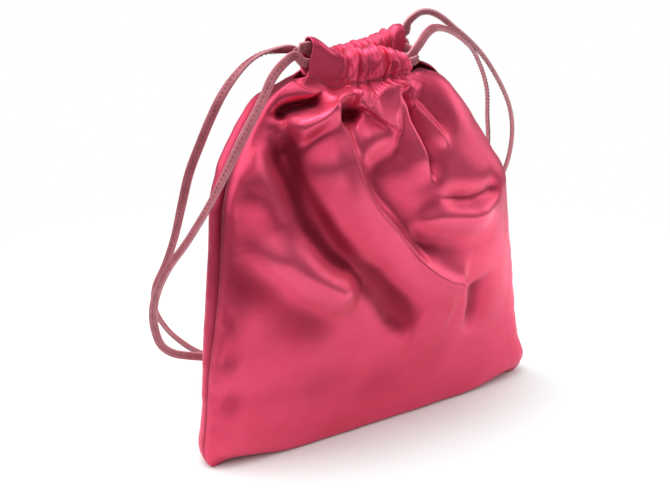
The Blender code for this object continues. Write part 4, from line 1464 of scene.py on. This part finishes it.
@dataclass(frozen=True)
class LeatherFinish(Finish):
    """Mauve-red strap leather: fine grain, a slight gloss and paler edges that are a painted highlight.
    """

    name: str = "strap_leather"
    colour: Colour = (0.430, 0.110, 0.142)
    deep: Colour = (0.330, 0.070, 0.096)
    # Painted highlight: paler colour along the strap's rounded edges
    edge: Colour = (0.68, 0.290, 0.335)
    edge_highlight_start: float = 0.72
    edge_highlight_share: float = 0.85
    roughness: float = 0.46
    gloss_change: float = 0.07
    tone_scale: float = 160.0
    grain_scale: float = 2600.0
    grain_bump: Pair = (0.25, 0.00012)
    crease_scale: float = 700.0
    crease_bump: Pair = (0.25, 0.0003)

    def paint(self, nodes: Nodes) -> None:
        """Adds the leather's nodes: tone by noise, painted highlight on the edges by attribute, grain as
        bumps.

        Args:
            nodes: the new material's nodes.
        """
        place = nodes.place("Object")
        tone = nodes.ramp(nodes.noise(place, self.tone_scale), *NOISE_RANGE, 0.0, 1.0)
        # Painted highlight along the strap's edges, by the edge attribute
        edge_highlight = nodes.ramp(nodes.attribute("edge"), self.edge_highlight_start, 1.0, 0.0, self.edge_highlight_share)
        grain = nodes.add("ShaderNodeTexVoronoi", {"Vector": place, "Scale": self.grain_scale})
        creases = nodes.noise(place, self.crease_scale)
        nodes.shade(
            Base_Color=nodes.mix(edge_highlight, nodes.mix(tone, self.deep, self.colour), self.edge),
            Normal=nodes.bump(creases, *self.crease_bump,
                              nodes.bump(grain.outputs["Distance"], *self.grain_bump)),
            Roughness=nodes.spread(creases, self.roughness, self.gloss_change))


@dataclass(frozen=True)
class ThreadFinish(Finish):
    """Twisted polyester thread, a little deeper than what it sews."""

    name: str = "sewing_thread"
    colour: Colour = (0.44, 0.040, 0.085)
    twist_scale: float = 1400.0
    twist_noise: float = 2.0
    twist_range: Pair = (0.2, 0.8)
    twist_bump: Pair = (0.4, 0.0001)
    # Painted shade: share of the colour left in the twist's grooves
    groove_shade_share: float = 0.7
    roughness: float = 0.55
    sheen: float = 0.3

    def paint(self, nodes: Nodes) -> None:
        """Adds the thread's nodes: its twist as slanting bands of bump, with painted shade in the bands'
        grooves.

        Args:
            nodes: the new material's nodes.
        """
        inputs = {"Vector": nodes.place("Object"), "Scale": self.twist_scale,
                  "Distortion": self.twist_noise}
        strands = nodes.add("ShaderNodeTexWave", inputs, bands_direction="DIAGONAL").outputs["Fac"]
        # Painted shade in the grooves between the strands, where the bump is low
        groove_shade = tuple(self.groove_shade_share * value for value in self.colour)
        share = nodes.ramp(strands, *self.twist_range, 0.0, 1.0)
        nodes.shade(Base_Color=nodes.mix(share, groove_shade, self.colour),
                    Normal=nodes.bump(strands, *self.twist_bump),
                    Roughness=self.roughness, Sheen_Weight=self.sheen)


def look_from(thing: Piece, place: Colour, target: Colour) -> None:
    """Puts a camera or lamp at a place, turned to its target.

    Args:
        thing: the camera or lamp.
        place: where it stands.
        target: what it looks at.
    """
    thing.location = place
    thing.rotation_mode = "QUATERNION"
    thing.rotation_quaternion = (Vector(target) - Vector(place)).to_track_quat("-Z", "Y")
    bpy.context.scene.collection.objects.link(thing)


@dataclass(frozen=True)
class Studio:
    """White floor, soft light from above, behind and the right, and the photo's view.

    Attributes:
        clip: nearest and furthest distance that the camera sees.
        floor_bounce: the floor's colour as the pouch sees it, floor_seen as the camera does.
        floor_fade: distances from the middle over which the floor turns into plain glow.
        floor_fall: distances over which its glow falls off, and what it falls off to.
        floor_sides: its glow's strength at the left and at the right, and floor_span their X.
        lobes: direction, cosines of start and full strength, and strength of each bright part.
        lamps: name, place, side and power of each lamp.
    """

    eye: Colour = (-0.535, -0.725, 0.452)
    target: Colour = (-0.0257, 0.0, 0.1083)
    lens: float = 92.8
    sensor: float = 36.0
    clip: Pair = (0.01, 20.0)
    floor_size: float = 6.0
    floor_bounce: Colour = (0.86, 0.86, 0.86)
    floor_seen: Colour = (0.88, 0.945, 0.935)
    floor_fade: Pair = (0.14, 0.40)
    floor_fall: tuple[float, float, float, float] = (0.20, 0.58, 1.0, 0.05)
    floor_span: Pair = (-0.45, 0.35)
    floor_sides: Pair = (0.28, 2.80)
    surround: float = 0.12
    lobes: tuple = (((-0.3, -0.1, 1.0), 0.14, 0.88, 1.20), ((1.0, 0.1, 0.0), 0.70, 0.97, 0.30),
                    ((-0.75, 0.65, 0.1), 0.46, 0.92, 1.30))
    lamps: tuple = (("overhead", (-0.15, 0.10, 1.15), 0.7, 5.0), ("right", (1.1, -0.15, 0.40), 0.7, 2.4))
    lamp_target: Colour = (0.0, 0.0, 0.1)

    def camera(self) -> None:
        """The camera, at the photo's height and angle."""
        data = bpy.data.cameras.new("view")
        data.lens = self.lens
        data.sensor_width = self.sensor
        data.clip_start, data.clip_end = self.clip
        eye = bpy.data.objects.new("view", data)
        look_from(eye, self.eye, self.target)
        bpy.context.scene.camera = eye

    def lamp(self, name: str, place: Colour, size: float, power: float) -> None:
        """A square soft white lamp that looks at the pouch.

        Args:
            name: its name.
            place: where it stands.
            size: its side.
            power: its power, watts.
        """
        data = bpy.data.lights.new(name, "AREA")
        data.size = size
        data.energy = power
        look_from(bpy.data.objects.new(name, data), place, self.lamp_target)

    def world(self) -> None:
        """White surround for the camera, and a graded one that lights the pouch.

        The graded one is the sum of lobes, each a smooth step of the cosine of the angle between
        a ray and the lobe's direction, so it is bright overhead, at the right and behind.
        """
        world = bpy.data.worlds.new("surround")
        bpy.context.scene.world = world
        nodes = Nodes(world)
        nodes.tree.nodes.clear()
        place = nodes.place("Generated")
        total = self.surround
        for way, low, high, strength in self.lobes:
            inputs = {0: place, 1: Vector(way).normalized()}
            facing = nodes.add("ShaderNodeVectorMath", inputs, operation="DOT_PRODUCT").outputs["Value"]
            step = nodes.ramp(facing, low, high, 0.0, strength)
            total = nodes.add("ShaderNodeMath", {0: step, 1: total}, operation="ADD").outputs[0]
        white = {"Color": (1.0, 1.0, 1.0, 1.0)}
        lit = nodes.add("ShaderNodeBackground", {**white, "Strength": total}).outputs[0]
        plain = nodes.add("ShaderNodeBackground", white).outputs[0]
        seen = nodes.add("ShaderNodeLightPath").outputs["Is Camera Ray"]
        mix = nodes.add("ShaderNodeMixShader", {0: seen, 1: lit, 2: plain})
        nodes.add("ShaderNodeOutputWorld", {"Surface": mix.outputs[0]})

    def floor(self) -> None:
        """A white floor that keeps the soft shadow and fades to white away from the pouch.

        Near the pouch it is a diffuse white, and further out it glows: plain white for the
        camera, and for the pouch falling off with distance and rising to the right.
        """
        half = self.floor_size / 2
        corners = half * np.array([(-1, -1, 0), (1, -1, 0), (1, 1, 0), (-1, 1, 0)])
        floor = put_mesh("floor", corners, np.array([[0, 1, 2, 3]]))
        nodes = Nodes(bpy.data.materials.new("white_floor"))
        place = nodes.place("Object")
        away = nodes.add("ShaderNodeVectorMath", {0: place}, operation="LENGTH").outputs["Value"]
        split = nodes.add("ShaderNodeSeparateXYZ", {0: place})
        seen = nodes.add("ShaderNodeLightPath").outputs["Is Camera Ray"]
        fall = nodes.ramp(away, *self.floor_fall)
        right = nodes.ramp(split.outputs["X"], *self.floor_span, *self.floor_sides)
        lit = nodes.add("ShaderNodeMath", {0: fall, 1: right}, operation="MULTIPLY").outputs[0]
        level = nodes.add("ShaderNodeMix", {0: seen, 2: lit, 3: 1.0}).outputs[0]
        glow = nodes.add("ShaderNodeEmission", {"Color": (1.0, 1.0, 1.0, 1.0), "Strength": level})
        shade = nodes.mix(seen, self.floor_bounce, self.floor_seen)
        near = nodes.add("ShaderNodeBsdfDiffuse", {"Color": shade})
        share = nodes.ramp(away, *self.floor_fade, 0.0, 1.0)
        mix = nodes.add("ShaderNodeMixShader", {0: share, 1: near.outputs[0], 2: glow.outputs[0]})
        nodes.put(nodes.tree.nodes["Material Output"], "Surface", mix.outputs[0])
        floor.data.materials.append(nodes.owner)

    def build(self) -> None:
        """Sets the view, the light and the floor."""
        self.camera()
        self.world()
        for lamp in self.lamps:
            self.lamp(*lamp)
        self.floor()
        bpy.context.scene.view_settings.view_transform = "Standard"


# Columns of cloth between which the stitches beside each open end climb the casing
SLIT_COLUMNS = {
    Panel.FRONT: {"left": (-0.50, -0.35), "right": (0.90, 0.94)},
    Panel.BACK: {"left": (-0.90, -0.84), "right": (0.90, 0.94)},
}


def stitch_rows(panel: SatinPanel) -> list[StitchRow]:
    """The rows of stitches on a panel's casing: along the hem, and up beside each open end.

    Args:
        panel: the panel that the stitches sew.

    Returns:
        The rows, each with its line raised just clear of the cloth.
    """
    points, _ = panel.grid()
    out = outward(points, panel.panel.value)
    raised = points + out * STITCH_CLEARANCE
    label, row = panel.panel.name.lower(), panel.stitch_row
    hem = row, slice(HEM_MARGIN, -HEM_MARGIN)
    rows = [StitchRow(f"{label}_hem_stitches", f"{label}_casing_stitching", raised[hem], out[hem])]
    columns = np.linspace(-1.0, 1.0, panel.columns + 1)
    for name, (low, high) in SLIT_COLUMNS[panel.panel].items():
        ways = np.linspace(low, high, panel.wall_rows)
        picks = np.argmin(np.abs(columns - ways[:, None]), axis=1)
        slit = np.arange(row + 1, row + 1 + panel.wall_rows), picks
        rows.append(StitchRow(f"{label}_{name}_slit_stitches", f"{label}_{name}_slit_stitching",
                              raised[slit], out[slit]))
    return rows


def main() -> None:
    """Builds the studio, the cords, the panels and the stitches, and logs each piece."""
    logging.basicConfig(level=logging.INFO, format="%(message)s")
    form = PouchForm()
    satin, leather, thread = SatinFinish(), LeatherFinish(), ThreadFinish()
    strap_thread = ThreadFinish("strap_thread", colour=(0.22, 0.030, 0.050))
    Studio().build()
    cords = [
        Drawcord(form, -1, LEFT_LOOP, LEFT_FACING, (0.0055, 0.0020)),
        Drawcord(form, 1, RIGHT_LOOP, RIGHT_FACING, (0.0114, 0.0031), right_sag=0.0062, left_sag=0.0060,
                 set_back=0.0013),
    ]
    for cord in cords:
        pieces = cord.build()
        cord.dress(pieces, leather, strap_thread)
        for piece in pieces:
            LOG.info("%s: %d points", piece.name, len(piece.data.vertices))
    panels = [
        SatinPanel(form, Panel.FRONT, FRONT_FOLDS,
                   tucks=(-0.33, -0.05, 0.15, 0.47, 0.61, 0.76, 0.87, 1.0),
                   depths=(0.0034, 0.0026, 0.0038, 0.0034, 0.0036, 0.0002, 0.0016)),
        SatinPanel(form, Panel.BACK, BACK_FOLDS,
                   tucks=(-0.70, -0.52, -0.40, -0.22, -0.10, 0.06, 0.16, 0.34, 0.62, 0.80),
                   depths=(0.0036, 0.0032, 0.0042, 0.0030, 0.0040, 0.0028, 0.0040, 0.0024, 0.0016)),
    ]
    for panel in panels:
        piece = panel.build()
        panel.dress(piece, satin)
        LOG.info("%s: %d points", piece.name, len(piece.data.vertices))
        for row in stitch_rows(panel):
            stitches = row.build()
            row.dress(stitches, thread)
            LOG.info("%s: %d points", stitches.name, len(stitches.data.vertices))
    for node in ("left_seam_stitching", "right_seam_stitching", "base_seam_stitching"):
        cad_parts[node].data.materials.clear()
        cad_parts[node].data.materials.append(thread.material())


if __name__ == "__main__":
    main()
